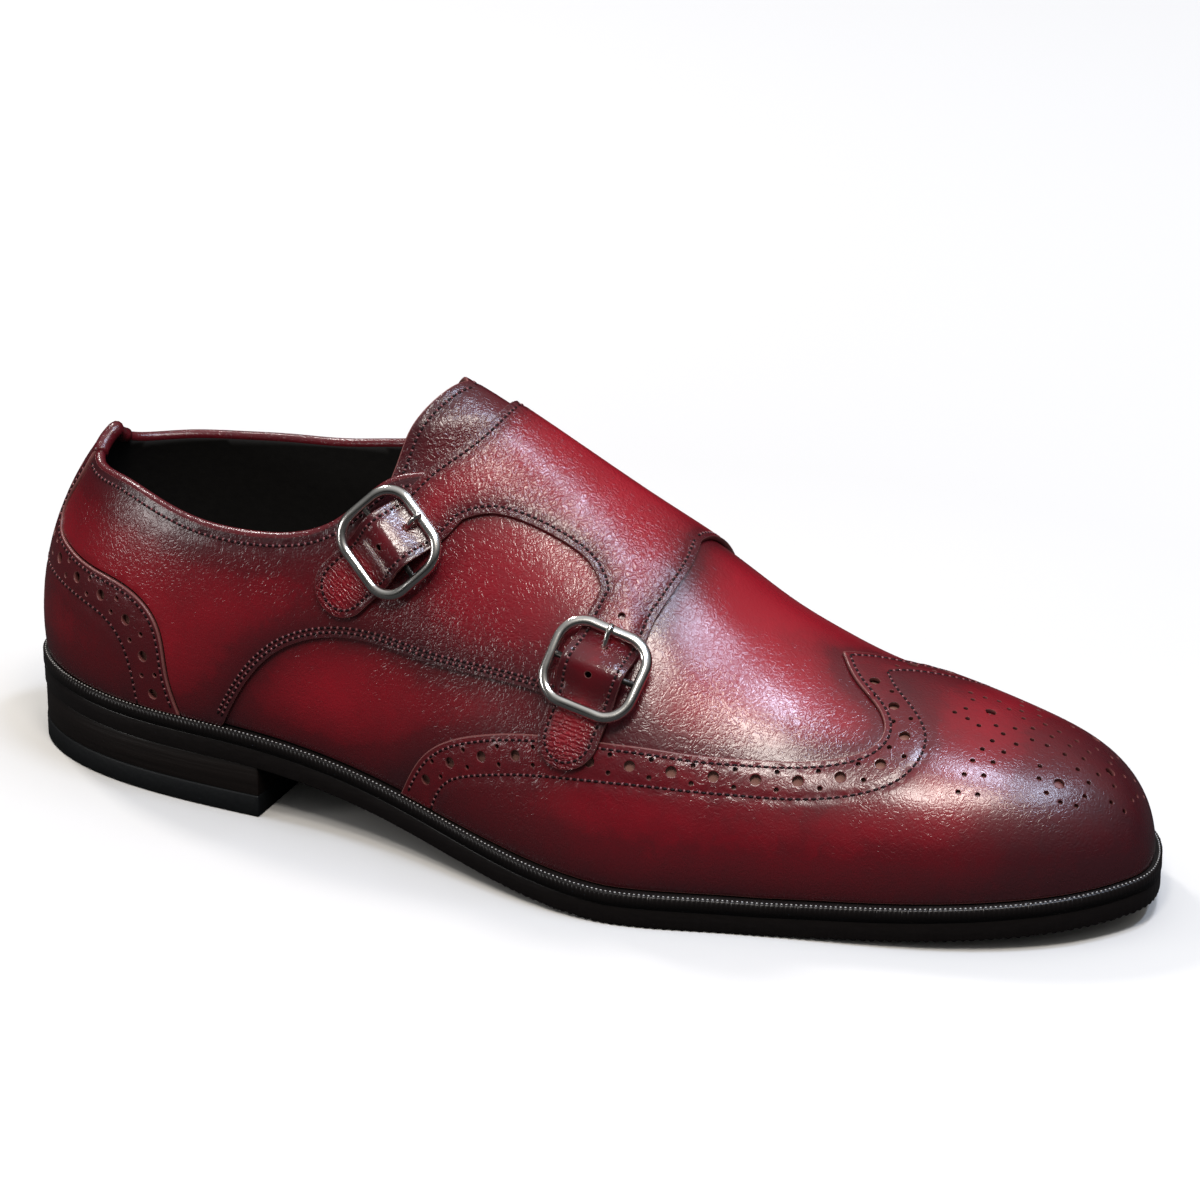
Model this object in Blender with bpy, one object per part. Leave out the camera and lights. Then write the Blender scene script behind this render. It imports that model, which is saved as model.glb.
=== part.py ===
"""A right double monk strap shoe on a leather sole: metres, +Z up, toe toward +X.

The lateral side, with both buckles, faces -Y. The origin lies on the floor below the
middle of the sole.
"""
import math

import bmesh
import bpy
import numpy as np
from mathutils import Vector
from mathutils.geometry import delaunay_2d_cdt

# Driving sizes of the sole
LENGTH = 0.305
BALL_WIDTH = 0.106
HEEL_RISE = 0.0145
OUTSOLE_THICKNESS = 0.0052
WELT_THICKNESS = 0.0032
WELT_WIDTH = 0.0095
WELT_MARGIN = 0.0054
INSOLE_THICKNESS = 0.003
HEEL_LENGTH = 0.078
HEEL_INSET = 0.0005
TOP_PIECE_THICKNESS = 0.0058

# Driving sizes of the upper
INSTEP_HEIGHT = 0.105
RIDGE_OFFSET = 0.004
SIDE_FLARE = 0.0065
UPPER_WALL = 0.0016
OVERLAY_WALL = 0.0009
COUNTER_WALL = 0.0014
TONGUE_WALL = 0.0013
STRAP_WALL = 0.0012

# Driving sizes of the straps and buckles
STRAP_WIDTH = 0.0155
STRAP_TAIL = 0.025
BUCKLE_LENGTH = 0.0235
BUCKLE_WIDTH = 0.026
BUCKLE_CORNER = 0.008
BUCKLE_WIRE = 0.0027
BAR_RADIUS = 0.0008
KEEPER_WALL = 0.001
KEEPER_WIDTH = 0.010
EYE_WIRE = 0.0004
PRONG_RADIUS = 0.0007

GAP = 0.0003

# The last: one row for each section, numbered from the toe tip to the heel back. x and
# crown are shares of LENGTH, y of BALL_WIDTH, margin of WELT_MARGIN, flare of SIDE_FLARE;
# rise and roof say how far a rib's two handles reach, as shares of its height and depth.
SECTION_COLUMNS = "lat_x lat_y med_x med_y margin crown flare rise roof".split()
SECTIONS = {
    "toe_tip":    (1.000, 0.010, 1.000, 0.010, .85, .868, .05, .62, .50),
    "toe_corner": (0.986, -.100, 0.986, 0.165, .85, .866, .06, .62, .52),
    "toe_side":   (0.945, -.222, 0.948, 0.290, .89, .855, .09, .62, .56),
    "toe_box":    (0.870, -.330, 0.880, 0.370, .96, .825, .18, .58, .60),
    "vamp":       (0.780, -.394, 0.790, 0.445, 1.0, .765, .31, .52, .58),
    "ball":       (0.690, -.450, 0.700, 0.500, 1.0, .690, .40, .48, .52),
    "little_toe": (0.600, -.506, 0.610, 0.470, 1.0, .600, .44, .44, .46),
    "instep":     (0.510, -.466, 0.510, 0.390, .93, .510, .54, .42, .40),
    "waist":      (0.420, -.382, 0.420, 0.320, .74, .420, .70, .42, .40),
    "heel_front": (0.320, -.322, 0.320, 0.305, .67, .325, .84, .42, .50),
    "heel":       (0.190, -.295, 0.190, 0.300, .70, .245, .92, .42, .60),
    "heel_round": (0.065, -.207, 0.065, 0.235, .80, .195, .80, .42, .60),
    "heel_back":  (0.000, 0.010, 0.000, 0.010, .85, .185, .71, .42, .60),
}
BACK = len(SECTIONS) - 1

# Underside of the sole: share of LENGTH, share of HEEL_RISE; below 0 it is flat
UNDERSIDE = [(0, 1.10), (.13, .99), (.255, .94), (.40, .50), (.50, .18), (.59, .01),
             (.66, -.04), (.73, .01), (.80, .08), (.90, .22), (1.0, .36)]
# Crown of the last, seen from the side: share of LENGTH, share of INSTEP_HEIGHT
CROWN = [(.12, .97), (.20, 1.03), (.30, 1.085), (.38, 1.07), (.44, .995), (.50, .90),
         (.56, .80), (.61, .712), (.655, .615), (.70, .542), (.74, .495), (.80, .458),
         (.868, .412), (.94, .36), (1.0, .31)]

# A place on the last is a station, which counts the sections from the toe tip and is
# negative on the medial side, and a share of the rib there, from the feather edge (0)
# to the crown (1).
THROAT = 7.2
TOPLINE = [(THROAT, 1.0, 1.0), (7.7, .87, .88), (8.2, .71, .73), (8.63, .585, .61),
           (8.93, .495, .535), (9.25, .442, .505), (9.6, .428, .49), (10.0, .440, .495),
           (10.37, .472, .503), (10.83, .510, .515), (11.4, .528, .53), (BACK, .60, .60)]
WING_EDGE = [(8.28, 0), (8.02, .115), (7.48, .215), (6.87, .285), (6.02, .355),
             (4.75, .465), (4.23, .525), (3.88, .60), (3.78, .68), (3.92, .79),
             (4.27, .89), (4.55, 1.0)]
QUARTER_EDGE = [(9.77, 0), (9.58, .115), (9.30, .215), (8.97, .26), (8.08, .295),
                (7.53, .33), (6.83, .375), (6.20, .40)]
QUARTER_FRONT = [(6.20, .40), (6.16, .50), (6.20, .62), (6.42, .74), (6.95, .81),
                 (THROAT + .55, .845)]
COUNTER_EDGE = [(10.07, 0), (10.14, .10), (10.24, .22), (10.42, .265), (10.90, .295),
                (11.25, .315), (11.50, .34), (11.60, .375), (11.55, .45), (11.57, .535)]
FLAP_FRONT = [(6.00, 1.0), (5.95, .895), (5.97, .76), (6.02, .67)]
FLAP_NOTCH = [(6.54, .655), (6.68, .685), (7.00, .692), (7.35, .676), (7.68, .642),
              (7.90, .595)]
FLAP_TOP = [(8.27, .66), (8.05, .755), (7.90, .87), (7.85, 1.0)]
MEDIAL_FRONT = [(6.20, .40), (6.12, .50), (6.06, .62), (6.02, .80), (6.00, 1.0)]
MEDIAL_TOP = [(7.85, 1.0), (7.98, .92), (8.25, .80), (8.63, .64)]
TONGUE_EDGE = [(6.4, 1.0), (6.4, .72), (6.7, .64), (8.40, .52), (8.60, .54), (8.61, .64),
               (8.55, .72), (8.38, .87), (8.25, 1.0)]

# Buckles: station and share of the bar's middle, and of the strap's tip
BUCKLES = {"1": (8.48, .480, 9.02, .315), "2": (6.38, .480, 6.56, .255)}

# Mesh
COLUMN_STEP = 0.0125
COLUMN_TURN = math.radians(16)
ROWS = (0, .09, .18, .28, .38, .48, .58, .68, .77, .85, .93, 1.0)
CLOSEST = 0.0035
STRETCH = 4.0
OUTLINE_STEP = 0.24
SEW = 0.00005

# Levels above the last's surface
OVERLAY_LEVEL = UPPER_WALL + GAP
STRAP_LEVEL = OVERLAY_LEVEL + OVERLAY_WALL + GAP
KEEPER_RADIUS = BAR_RADIUS + GAP + KEEPER_WALL
BAR_LEVEL = STRAP_LEVEL + KEEPER_RADIUS
FRAME_LEVEL = STRAP_LEVEL + STRAP_WALL + GAP + BUCKLE_WIRE / 2
STRAP_LIFT = BAR_LEVEL + KEEPER_RADIUS + GAP - STRAP_LEVEL
LIFT_REACH = BUCKLE_LENGTH / 2 - BUCKLE_WIRE

MATERIALS = {
    "burgundy_leather": ((0.16, 0.012, 0.022), 0.38, 0.0),
    "plum_leather": ((0.075, 0.012, 0.018), 0.42, 0.0),
    "sole_leather": ((0.012, 0.008, 0.008), 0.40, 0.0),
    "rubber": ((0.010, 0.011, 0.013), 0.60, 0.0),
    "insole_leather": ((0.30, 0.17, 0.09), 0.70, 0.0),
    "polished_nickel": ((0.66, 0.64, 0.61), 0.22, 1.0),
}


# Curves

class Spline:
    """Smooth cubic curve through values at rising places, closed if periodic."""

    def __init__(self, places, values, periodic=False):
        self.places = np.asarray(places, float)
        self.values = np.asarray(values, float)
        self.slopes = self.solve_slopes(periodic)

    def solve_slopes(self, periodic):
        step = np.diff(self.places)
        rise = np.diff(self.values) / step
        count = len(self.places)
        matrix = np.zeros((count, count))
        right = np.zeros(count)
        for i in range(1, count - 1):
            matrix[i, i - 1:i + 2] = step[i], 2 * (step[i] + step[i - 1]), step[i - 1]
            right[i] = 3 * (step[i] * rise[i - 1] + step[i - 1] * rise[i])
        if periodic:
            matrix[0, [0, 1, -2]] = 2 * (step[0] + step[-1]), step[-1], step[0]
            right[0] = 3 * (step[-1] * rise[0] + step[0] * rise[-1])
            matrix[-1, [0, -1]] = 1, -1
        else:
            matrix[0, :2] = 2, 1
            matrix[-1, -2:] = 1, 2
            right[0], right[-1] = 3 * rise[0], 3 * rise[-1]
        return np.linalg.solve(matrix, right)

    def __call__(self, x):
        x = np.asarray(x, float)
        i = np.clip(np.searchsorted(self.places, x, side="right") - 1, 0, len(self.places) - 2)
        step = self.places[i + 1] - self.places[i]
        t = (x - self.places[i]) / step
        ends = (2 * t**3 - 3 * t**2 + 1) * self.values[i] + (3 * t**2 - 2 * t**3) * self.values[i + 1]
        bend = (t**3 - 2 * t**2 + t) * self.slopes[i] + (t**3 - t**2) * self.slopes[i + 1]
        return ends + step * bend


def section_curve(lateral, medial):
    """Closed curve over the stations through one column of SECTIONS on each side."""
    rows = [dict(zip(SECTION_COLUMNS, row)) for row in SECTIONS.values()]
    values = [row[medial] for row in rows[:0:-1]] + [row[lateral] for row in rows]
    return Spline(np.arange(-BACK, BACK + 1), values, periodic=True)


SECTION_X = section_curve("lat_x", "med_x")
SECTION_Y = section_curve("lat_y", "med_y")
MARGIN, CROWN_X, FLARE, RISE, ROOF = (
    section_curve(name, name) for name in ("margin", "crown", "flare", "rise", "roof"))
UNDERSIDE_CURVE = Spline(*zip(*UNDERSIDE))
CROWN_CURVE = Spline(*zip(*CROWN))
LATERAL_TOPLINE = Spline([row[0] for row in TOPLINE], [row[1] for row in TOPLINE])
MEDIAL_TOPLINE = Spline([row[0] for row in TOPLINE], [row[2] for row in TOPLINE])


# Sole and last

def wrapped(station):
    return (np.asarray(station, float) + BACK) % (2 * BACK) - BACK


def raw_edge(station):
    station = wrapped(station)
    return np.stack([SECTION_X(station) * LENGTH, SECTION_Y(station) * BALL_WIDTH], -1)


EDGE_SAMPLES = raw_edge(np.linspace(-BACK, BACK, 2401))
MIDDLE = (EDGE_SAMPLES.min(0) + EDGE_SAMPLES.max(0)) / 2


def sole_edge(station, inset=0.0):
    """Edge of the sole in plan, moved inward by inset."""
    reach = 1e-3
    along = raw_edge(np.asarray(station) + reach) - raw_edge(np.asarray(station) - reach)
    along /= np.linalg.norm(along, axis=-1, keepdims=True)
    inward = np.stack([along[..., 1], -along[..., 0]], -1)
    return raw_edge(station) - MIDDLE + inward * np.asarray(inset)[..., None]


def length_share(x):
    return (np.asarray(x) + MIDDLE[0]) / LENGTH


def underside(x):
    return np.maximum(UNDERSIDE_CURVE(np.clip(length_share(x), 0, 1)), 0) * HEEL_RISE


def outsole_top(x):
    return underside(x) + OUTSOLE_THICKNESS


def welt_top(x):
    return outsole_top(x) + GAP + WELT_THICKNESS


def crown_height(x):
    return CROWN_CURVE(length_share(x)) * INSTEP_HEIGHT


def crown_slope(x):
    reach = 1e-4
    return (crown_height(x + reach) - crown_height(x - reach)) / (2 * reach)


def rib(station):
    """The four control points of the rib at a station, feather edge first."""
    station = wrapped(station)
    foot = sole_edge(station, MARGIN(station) * WELT_MARGIN)
    foot_z = welt_top(foot[..., 0]) + GAP
    top_x = CROWN_X(station) * LENGTH - MIDDLE[0]
    top = np.stack([top_x, np.full_like(top_x, RIDGE_OFFSET)], -1)
    top_z = crown_height(top_x)
    depth = np.linalg.norm(top - foot, axis=-1)
    inward = (top - foot) / depth[..., None]
    low = foot - inward * (FLARE(station) * SIDE_FLARE)[..., None]
    low_z = foot_z + RISE(station) * (top_z - foot_z)
    reach = ROOF(station) * depth
    high = top - inward * reach[..., None]
    high_z = top_z - inward[..., 0] * reach * crown_slope(top_x)
    plan = [foot, low, high, top]
    heights = [foot_z, low_z, high_z, top_z]
    return [np.concatenate([p, z[..., None]], -1) for p, z in zip(plan, heights)]


def last_point(station, share):
    t = np.asarray(share, float)[..., None]
    foot, low, high, top = rib(station)
    return (1 - t)**3 * foot + 3 * t * (1 - t)**2 * low + 3 * t**2 * (1 - t) * high + t**3 * top


def last_normal(station, share):
    """Outward direction; on the crown it is the same from both sides."""
    reach = 2e-3
    station, share = np.asarray(station, float), np.asarray(share, float)
    low, high = np.maximum(share - reach, 0), np.minimum(share + reach, 1)
    up = last_point(station, high) - last_point(station, low)
    along = last_point(station + reach, share) - last_point(station - reach, share)
    outward = np.cross(up, along)
    slope = crown_slope(last_point(station, np.ones_like(share))[..., 0])
    ridge = np.stack([-slope, np.zeros_like(slope), np.ones_like(slope)], -1)
    outward = np.where((share > .999)[..., None], ridge, outward)
    return outward / np.linalg.norm(outward, axis=-1, keepdims=True)


def skin(station, share, level):
    """Point at a level above the last's surface, kept clear of the welt."""
    point = last_point(station, share)
    point = point + last_normal(station, share) * np.asarray(level)[..., None]
    point[..., 2] = np.maximum(point[..., 2], welt_top(point[..., 0]) + GAP)
    return point


# Flat patterns: stations across, shares times STRETCH upward

def flat(places):
    return [(station, share * STRETCH) for station, share in places]


def smooth(places, step=OUTLINE_STEP):
    """Points along a smooth open curve through places on the last."""
    points = np.array(flat(places))
    run = np.concatenate([[0], np.cumsum(np.linalg.norm(np.diff(points, axis=0), axis=1))])
    fine = np.linspace(0, run[-1], max(2, round(run[-1] / step) + 1))
    return [(float(Spline(run, points[:, 0])(s)), float(Spline(run, points[:, 1])(s))) for s in fine]


def mirrored(points):
    return [(-station, height) for station, height in points]


def column_stations():
    """Stations of the mesh columns on one side, closer where the sole edge turns."""
    fine = np.linspace(0, BACK, 1201)
    steps = np.diff(sole_edge(fine), axis=0)
    heading = np.unwrap(np.arctan2(steps[:, 1], steps[:, 0]))
    turns = np.abs(np.diff(heading, append=heading[-1]))
    cost = np.linalg.norm(steps, axis=1) / COLUMN_STEP + turns / COLUMN_TURN
    total = np.concatenate([[0], np.cumsum(cost)])
    return np.interp(np.linspace(0, total[-1], round(total[-1]) + 1), total, fine)


COLUMNS = column_stations()


def thinned(share):
    """Columns of one side that stay CLOSEST apart at this share of their ribs."""
    kept = [COLUMNS[0]]
    for station in COLUMNS[1:]:
        if np.linalg.norm(last_point(station, share) - last_point(kept[-1], share)) >= CLOSEST:
            kept.append(station)
    return kept


RIDGE_COLUMNS = thinned(1.0)
GRID = np.array([(side * station, share * STRETCH)
                 for share in ROWS[1:-1] for side in (1, -1) for station in thinned(share)
                 if side > 0 or 0 < station < BACK])


def between(start, end, values):
    """start, the values strictly inside, and end, in order."""
    low, high = min(start, end), max(start, end)
    within = [float(v) for v in values if low + .02 < v < high - .02]
    return [start, *sorted(within, reverse=bool(start > end)), end]


def along_foot(start, end):
    both_sides = [*COLUMNS, *(-COLUMNS)]
    return [(station, 0.0) for station in between(start, end, both_sides)]


def along_ridge(start, end):
    both_sides = [*RIDGE_COLUMNS, *(-c for c in RIDGE_COLUMNS)]
    return [(station, STRETCH) for station in between(start, end, set(both_sides))]


def along_back(side, start, end):
    rows = [row * STRETCH for row in ROWS]
    return [(side * BACK, height) for height in between(start * STRETCH, end * STRETCH, rows)]


def along_topline(curve, start, end):
    return smooth([(station, float(curve(station))) for station in np.linspace(start, end, 24)])


def outline(*runs):
    """One closed outline from runs that start where the last one ended."""
    points = []
    for run in runs:
        for point in run:
            if not points or math.dist(point, points[-1]) > 1e-4:
                points.append(point)
    if math.dist(points[0], points[-1]) < 1e-4:
        points.pop()
    return points


def inside(points, loop):
    """Which points lie inside a closed outline."""
    x, y = points[:, 0], points[:, 1]
    result = np.zeros(len(points), bool)
    for (x1, y1), (x2, y2) in zip(loop, loop[1:] + loop[:1]):
        if y1 != y2:
            crosses = (y1 > y) != (y2 > y)
            result ^= crosses & (x < (x2 - x1) * (y - y1) / (y2 - y1) + x1)
    return result


def distance(points, loop):
    """Distance from each point to a closed outline."""
    nearest = np.full(len(points), np.inf)
    for start, end in zip(loop, loop[1:] + loop[:1]):
        start, end = np.array(start), np.array(end)
        along = end - start
        t = np.clip((points - start) @ along / (along @ along), 0, 1)
        nearest = np.minimum(nearest, np.linalg.norm(points - start - t[:, None] * along, axis=1))
    return nearest


def clear_of(points, others, apart=.15):
    """The points that stay apart from all the others."""
    gaps = np.linalg.norm(points[:, None] - others[None], axis=2)
    return points[gaps.min(axis=1) > apart]


def filled(loop, holes=(), points=None, margin=.09):
    """A sheet of triangles: points that keep a margin from the outline and holes join it."""
    coords, edges = [], []
    for ring in (loop, *holes):
        first = len(coords)
        coords += [Vector(point) for point in ring]
        edges += [(first + i, first + (i + 1) % len(ring)) for i in range(len(ring))]
        if points is not None and len(points):
            points = points[distance(points, ring) > margin]
    if points is not None and len(points):
        points = points[inside(points, loop)]
        coords += [Vector(point) for point in points]
    hull_triangles = 0
    verts, _, faces, *_ = delaunay_2d_cdt(coords, edges, [], hull_triangles, 1e-6)
    middles = np.array([np.mean([verts[i] for i in face], axis=0) for face in faces])
    wanted = inside(middles, loop)
    for hole in holes:
        wanted &= ~inside(middles, hole)
    return [tuple(v) for v in verts], [face for face, keep in zip(faces, wanted) if keep]


# Objects

def make_material(name):
    colour, roughness, metallic = MATERIALS[name]
    material = bpy.data.materials.new(name)
    material.use_nodes = True
    shader = material.node_tree.nodes["Principled BSDF"]
    shader.inputs["Base Color"].default_value = (*colour, 1)
    shader.inputs["Roughness"].default_value = roughness
    shader.inputs["Metallic"].default_value = metallic
    material.diffuse_color = (*colour, 1)
    return material


def add_object(name, mesh, material, collection="monk_strap_shoe"):
    mesh.materials.clear()
    mesh.materials.append(make_material(material))
    part = bpy.data.objects.new(name, mesh)
    bpy.data.collections[collection].objects.link(part)
    return part


def on_seam(face):
    """Walls of a pattern where its two sides are sewn: on the crown and the heel back."""
    crown = all(abs(v.co.y - STRETCH) < 1e-4 for v in face.verts)
    back = all(abs(abs(v.co.x) - BACK) < 1e-4 for v in face.verts)
    return crown or back


def thick_sheet(name, sheets, place, material, sewn=False):
    """Give flat sheets two layers and walls, then put every corner in its place."""
    bm = bmesh.new()
    for points, faces in sheets:
        layer = [bm.verts.new((*point, 0)) for point in points]
        for face in faces:
            bm.faces.new([layer[i] for i in face])
    grown = bmesh.ops.extrude_face_region(bm, geom=bm.faces[:])["geom"]
    lifted = [item for item in grown if isinstance(item, bmesh.types.BMVert)]
    bmesh.ops.translate(bm, verts=lifted, vec=(0, 0, 1))
    if sewn:
        walls = [face for face in bm.faces if on_seam(face)]
        bmesh.ops.delete(bm, geom=walls, context="FACES")
    flat_corners = np.array([v.co for v in bm.verts])
    for v, point in zip(bm.verts, place(*flat_corners.T)):
        v.co = point
    bmesh.ops.remove_doubles(bm, verts=bm.verts, dist=SEW)
    bmesh.ops.recalc_face_normals(bm, faces=bm.faces)
    return finish(bm, name, material)


def finish(bm, name, material):
    mesh = bpy.data.meshes.new(name)
    bm.to_mesh(mesh)
    bm.free()
    mesh.shade_smooth()
    mesh.set_sharp_from_angle(angle=math.radians(40))
    return add_object(name, mesh, material)


def overlay(name, sheets, level, wall, material):
    """A leather piece of a real thickness wrapped on the last at a level above it."""
    def place(station, height, layer):
        share = height / STRETCH
        base = level(station, share) if callable(level) else np.full_like(share, level)
        return skin(station, share, base + wall * layer)
    return thick_sheet(name, sheets, place, material, sewn=True)


def plate(name, loop, low, high, material, holes=()):
    """A sole piece between two surfaces that follow the length of the shoe."""
    def place(x, y, layer):
        return np.stack([x, y, low(x) + (high(x) - low(x)) * layer], -1)
    return thick_sheet(name, [filled(loop, holes)], place, material)


# Buckles: flat places run along the strap toward its root, across it, and up

class Seat:
    """The place on the last where a buckle's bar crosses its strap."""

    def __init__(self, station, share, tip_station, tip_share):
        self.place = np.array([station, share])
        self.middle = skin(station, share, STRAP_LEVEL)
        self.up = last_normal(station, share)
        along = self.middle - skin(tip_station, tip_share, STRAP_LEVEL)
        along -= self.up * (along @ self.up)
        self.along = along / np.linalg.norm(along)
        self.across = np.cross(self.up, self.along)

    def spread(self, point):
        offset = point - self.middle
        return np.stack([offset @ self.along, offset @ self.across], -1)

    def find(self, along, across, level=STRAP_LEVEL):
        """Station and share below a flat place, by Newton steps."""
        wanted = np.stack([along, across], -1)
        places = np.tile(self.place, (len(wanted), 1))
        level = np.broadcast_to(level, len(wanted))
        small = 1e-4
        for _ in range(8):
            here = self.spread(skin(places[:, 0], places[:, 1], level))
            by_station = self.spread(skin(places[:, 0] + small, places[:, 1], level)) - here
            by_share = self.spread(skin(places[:, 0], places[:, 1] + small, level)) - here
            slopes = np.stack([by_station, by_share], -1) / small
            places = places + np.linalg.solve(slopes, (wanted - here)[..., None])[..., 0]
        return places

    def pattern(self, flat_places):
        places = self.find(*np.array(flat_places).T)
        return [(float(station), float(share) * STRETCH) for station, share in places]

    def lift(self, station, share):
        """Rise of the strap over the bar and the keeper."""
        spread = self.spread(skin(station, share, np.full_like(share, STRAP_LEVEL)))
        along, across = np.abs(spread[..., 0]), np.abs(spread[..., 1])
        near = (along < LIFT_REACH) & (across < STRAP_WIDTH * .6)
        near &= np.abs(share - self.place[1]) < .3
        return np.where(near, STRAP_LIFT * np.cos(along / LIFT_REACH * math.pi / 2)**2, 0)


SEATS = {name: Seat(*row) for name, row in BUCKLES.items()}
STRAP_STEPS = [LIFT_REACH * step / 4 for step in range(-4, 5)]


def strap_outline(seat):
    """Round the tip of a strap, from its root on the toe side to its root behind."""
    half = STRAP_WIDTH / 2
    root = BUCKLE_LENGTH / 2 + GAP
    side = [root, *reversed(STRAP_STEPS), (half - STRAP_TAIL - LIFT_REACH) / 2]
    turn = np.linspace(0, math.pi, 9)
    tip = [(half - STRAP_TAIL - half * math.sin(a), -half * math.cos(a)) for a in turn]
    return seat.pattern([(s, -half) for s in side] + tip + [(s, half) for s in reversed(side)])


def strap_points(seat):
    """Mesh points on a strap where it bends over the bar."""
    rows = [STRAP_WIDTH * share for share in (-.25, 0, .25)]
    return seat.pattern([(s, t) for s in STRAP_STEPS for t in rows])


HOLE_PLACE = LIFT_REACH * .62


def prong_hole(seat):
    reach, half = 2.4 * PRONG_RADIUS, PRONG_RADIUS + GAP
    turn = np.linspace(0, 2 * math.pi, 9)[:-1] + math.pi / 8
    return seat.pattern([(HOLE_PLACE + reach * math.cos(a), half * math.sin(a) / math.cos(math.pi / 8))
                         for a in turn])


def tube(path, radius, closed=False, tip_share=1.0):
    """A round wire through flat places, as a mesh; it may thin toward its last point."""
    curve = bpy.data.curves.new("wire", "CURVE")
    curve.dimensions = "3D"
    curve.bevel_depth = radius
    curve.bevel_resolution = 2
    curve.use_fill_caps = not closed
    spline = curve.splines.new("POLY")
    spline.points.add(len(path) - 1)
    spline.use_cyclic_u = closed
    for i, (point, place) in enumerate(zip(spline.points, path)):
        point.co = (*place, 1)
        point.radius = 1 + (tip_share - 1) * i / (len(path) - 1)
    wire = bpy.data.objects.new("wire", curve)
    bpy.context.scene.collection.objects.link(wire)
    graph = bpy.context.evaluated_depsgraph_get()
    mesh = bpy.data.meshes.new_from_object(wire.evaluated_get(graph))
    bpy.data.objects.remove(wire)
    bm = bmesh.new()
    bm.from_mesh(mesh)
    bmesh.ops.remove_doubles(bm, verts=bm.verts, dist=SEW / 5)
    bmesh.ops.recalc_face_normals(bm, faces=bm.faces)
    bm.to_mesh(mesh)
    bm.free()
    return mesh


def joined(mesh, other):
    """The union of two flat meshes."""
    objects = [bpy.data.objects.new("joined", m) for m in (mesh, other)]
    for item in objects:
        bpy.data.collections["cutters"].objects.link(item)
    union = objects[0].modifiers.new("union", "BOOLEAN")
    union.operation = "UNION"
    union.solver = "EXACT"
    union.object = objects[1]
    graph = bpy.context.evaluated_depsgraph_get()
    result = bpy.data.meshes.new_from_object(objects[0].evaluated_get(graph))
    for item in objects:
        bpy.data.objects.remove(item)
    return result


def seated(name, mesh, seat, material):
    """Wrap a mesh that was made flat onto the last at a buckle's seat."""
    bm = bmesh.new()
    bm.from_mesh(mesh)
    bmesh.ops.triangulate(bm, faces=bm.faces)
    corners = np.array([v.co for v in bm.verts])
    places = seat.find(corners[:, 0], corners[:, 1], corners[:, 2])
    for v, point in zip(bm.verts, skin(places[:, 0], places[:, 1], corners[:, 2])):
        v.co = point
    bmesh.ops.recalc_face_normals(bm, faces=bm.faces)
    return finish(bm, name, material)


def frame_mesh():
    """A rounded rectangle of wire with a bar across its middle."""
    half_length = (BUCKLE_LENGTH - BUCKLE_WIRE) / 2
    half_width = (BUCKLE_WIDTH - BUCKLE_WIRE) / 2
    corner = BUCKLE_CORNER - BUCKLE_WIRE / 2
    path = []
    for quarter, (sx, sy) in enumerate([(1, 1), (-1, 1), (-1, -1), (1, -1)]):
        for angle in np.linspace(0, math.pi / 2, 6) + quarter * math.pi / 2:
            path.append((sx * (half_length - corner) + corner * math.cos(angle),
                         sy * (half_width - corner) + corner * math.sin(angle), FRAME_LEVEL))
        across = quarter % 2 == 0
        path.append((0, sy * half_width, FRAME_LEVEL) if across else (sx * half_length, 0, FRAME_LEVEL))
    ring = tube(path, BUCKLE_WIRE / 2, closed=True)
    low = KEEPER_WIDTH / 2 + GAP
    bar = [(0, -half_width, FRAME_LEVEL), (0, -low, BAR_LEVEL), (0, -low / 2, BAR_LEVEL),
           (0, 0, BAR_LEVEL), (0, low / 2, BAR_LEVEL), (0, low, BAR_LEVEL),
           (0, half_width, FRAME_LEVEL)]
    return joined(ring, tube(bar, BAR_RADIUS))


def strap_rise(along):
    return STRAP_LIFT * math.cos(along / LIFT_REACH * math.pi / 2)**2


def prong_mesh():
    """An eye round the bar and a shank through the strap's hole, onto the frame."""
    eye_radius = BAR_RADIUS + GAP + EYE_WIRE
    bpy.ops.mesh.primitive_torus_add(
        major_radius=eye_radius, minor_radius=EYE_WIRE, major_segments=16, minor_segments=6,
        location=(0, 0, BAR_LEVEL), rotation=(math.pi / 2, 0, 0))
    torus = bpy.context.object
    eye = torus.data.copy()
    eye.transform(torus.matrix_world)
    bpy.data.objects.remove(torus)
    before = HOLE_PLACE - 2.4 * PRONG_RADIUS
    rest = (BUCKLE_LENGTH - BUCKLE_WIRE) / 2
    rest_level = FRAME_LEVEL + BUCKLE_WIRE / 2 + 1.5 * GAP + PRONG_RADIUS
    path = [(eye_radius, 0, BAR_LEVEL - GAP),
            (before, 0, STRAP_LEVEL + strap_rise(before) - 1.5 * GAP - PRONG_RADIUS),
            (HOLE_PLACE, 0, STRAP_LEVEL + strap_rise(HOLE_PLACE) + .7 * STRAP_WALL),
            (rest, 0, rest_level),
            (rest + BUCKLE_WIRE * .7, 0, rest_level)]
    return joined(eye, tube(path, PRONG_RADIUS, tip_share=.8))


def keeper_sheet():
    """A strip that is rolled over the bar, with a slot for the prong's eye.

    It is measured in turns of the roll, one radian for KEEPER_RADIUS.
    """
    end = math.pi / 2 + 1
    slot_end = end - .2
    half = KEEPER_WIDTH / 2 / KEEPER_RADIUS
    slot = (PRONG_RADIUS + GAP) / KEEPER_RADIUS
    lengths = [end * step / 8 for step in range(-8, 9)]
    loop = [(x, -half) for x in lengths] + [(x, half) for x in reversed(lengths)]
    inner = [slot_end * step / 8 for step in range(-8, 9)]
    hole = [(x, -slot) for x in inner] + [(x, slot) for x in reversed(inner)]
    points = np.array([(x, side * (slot + half) / 2) for x in lengths for side in (-1, 1)])
    return filled(loop, [hole], points)


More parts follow.
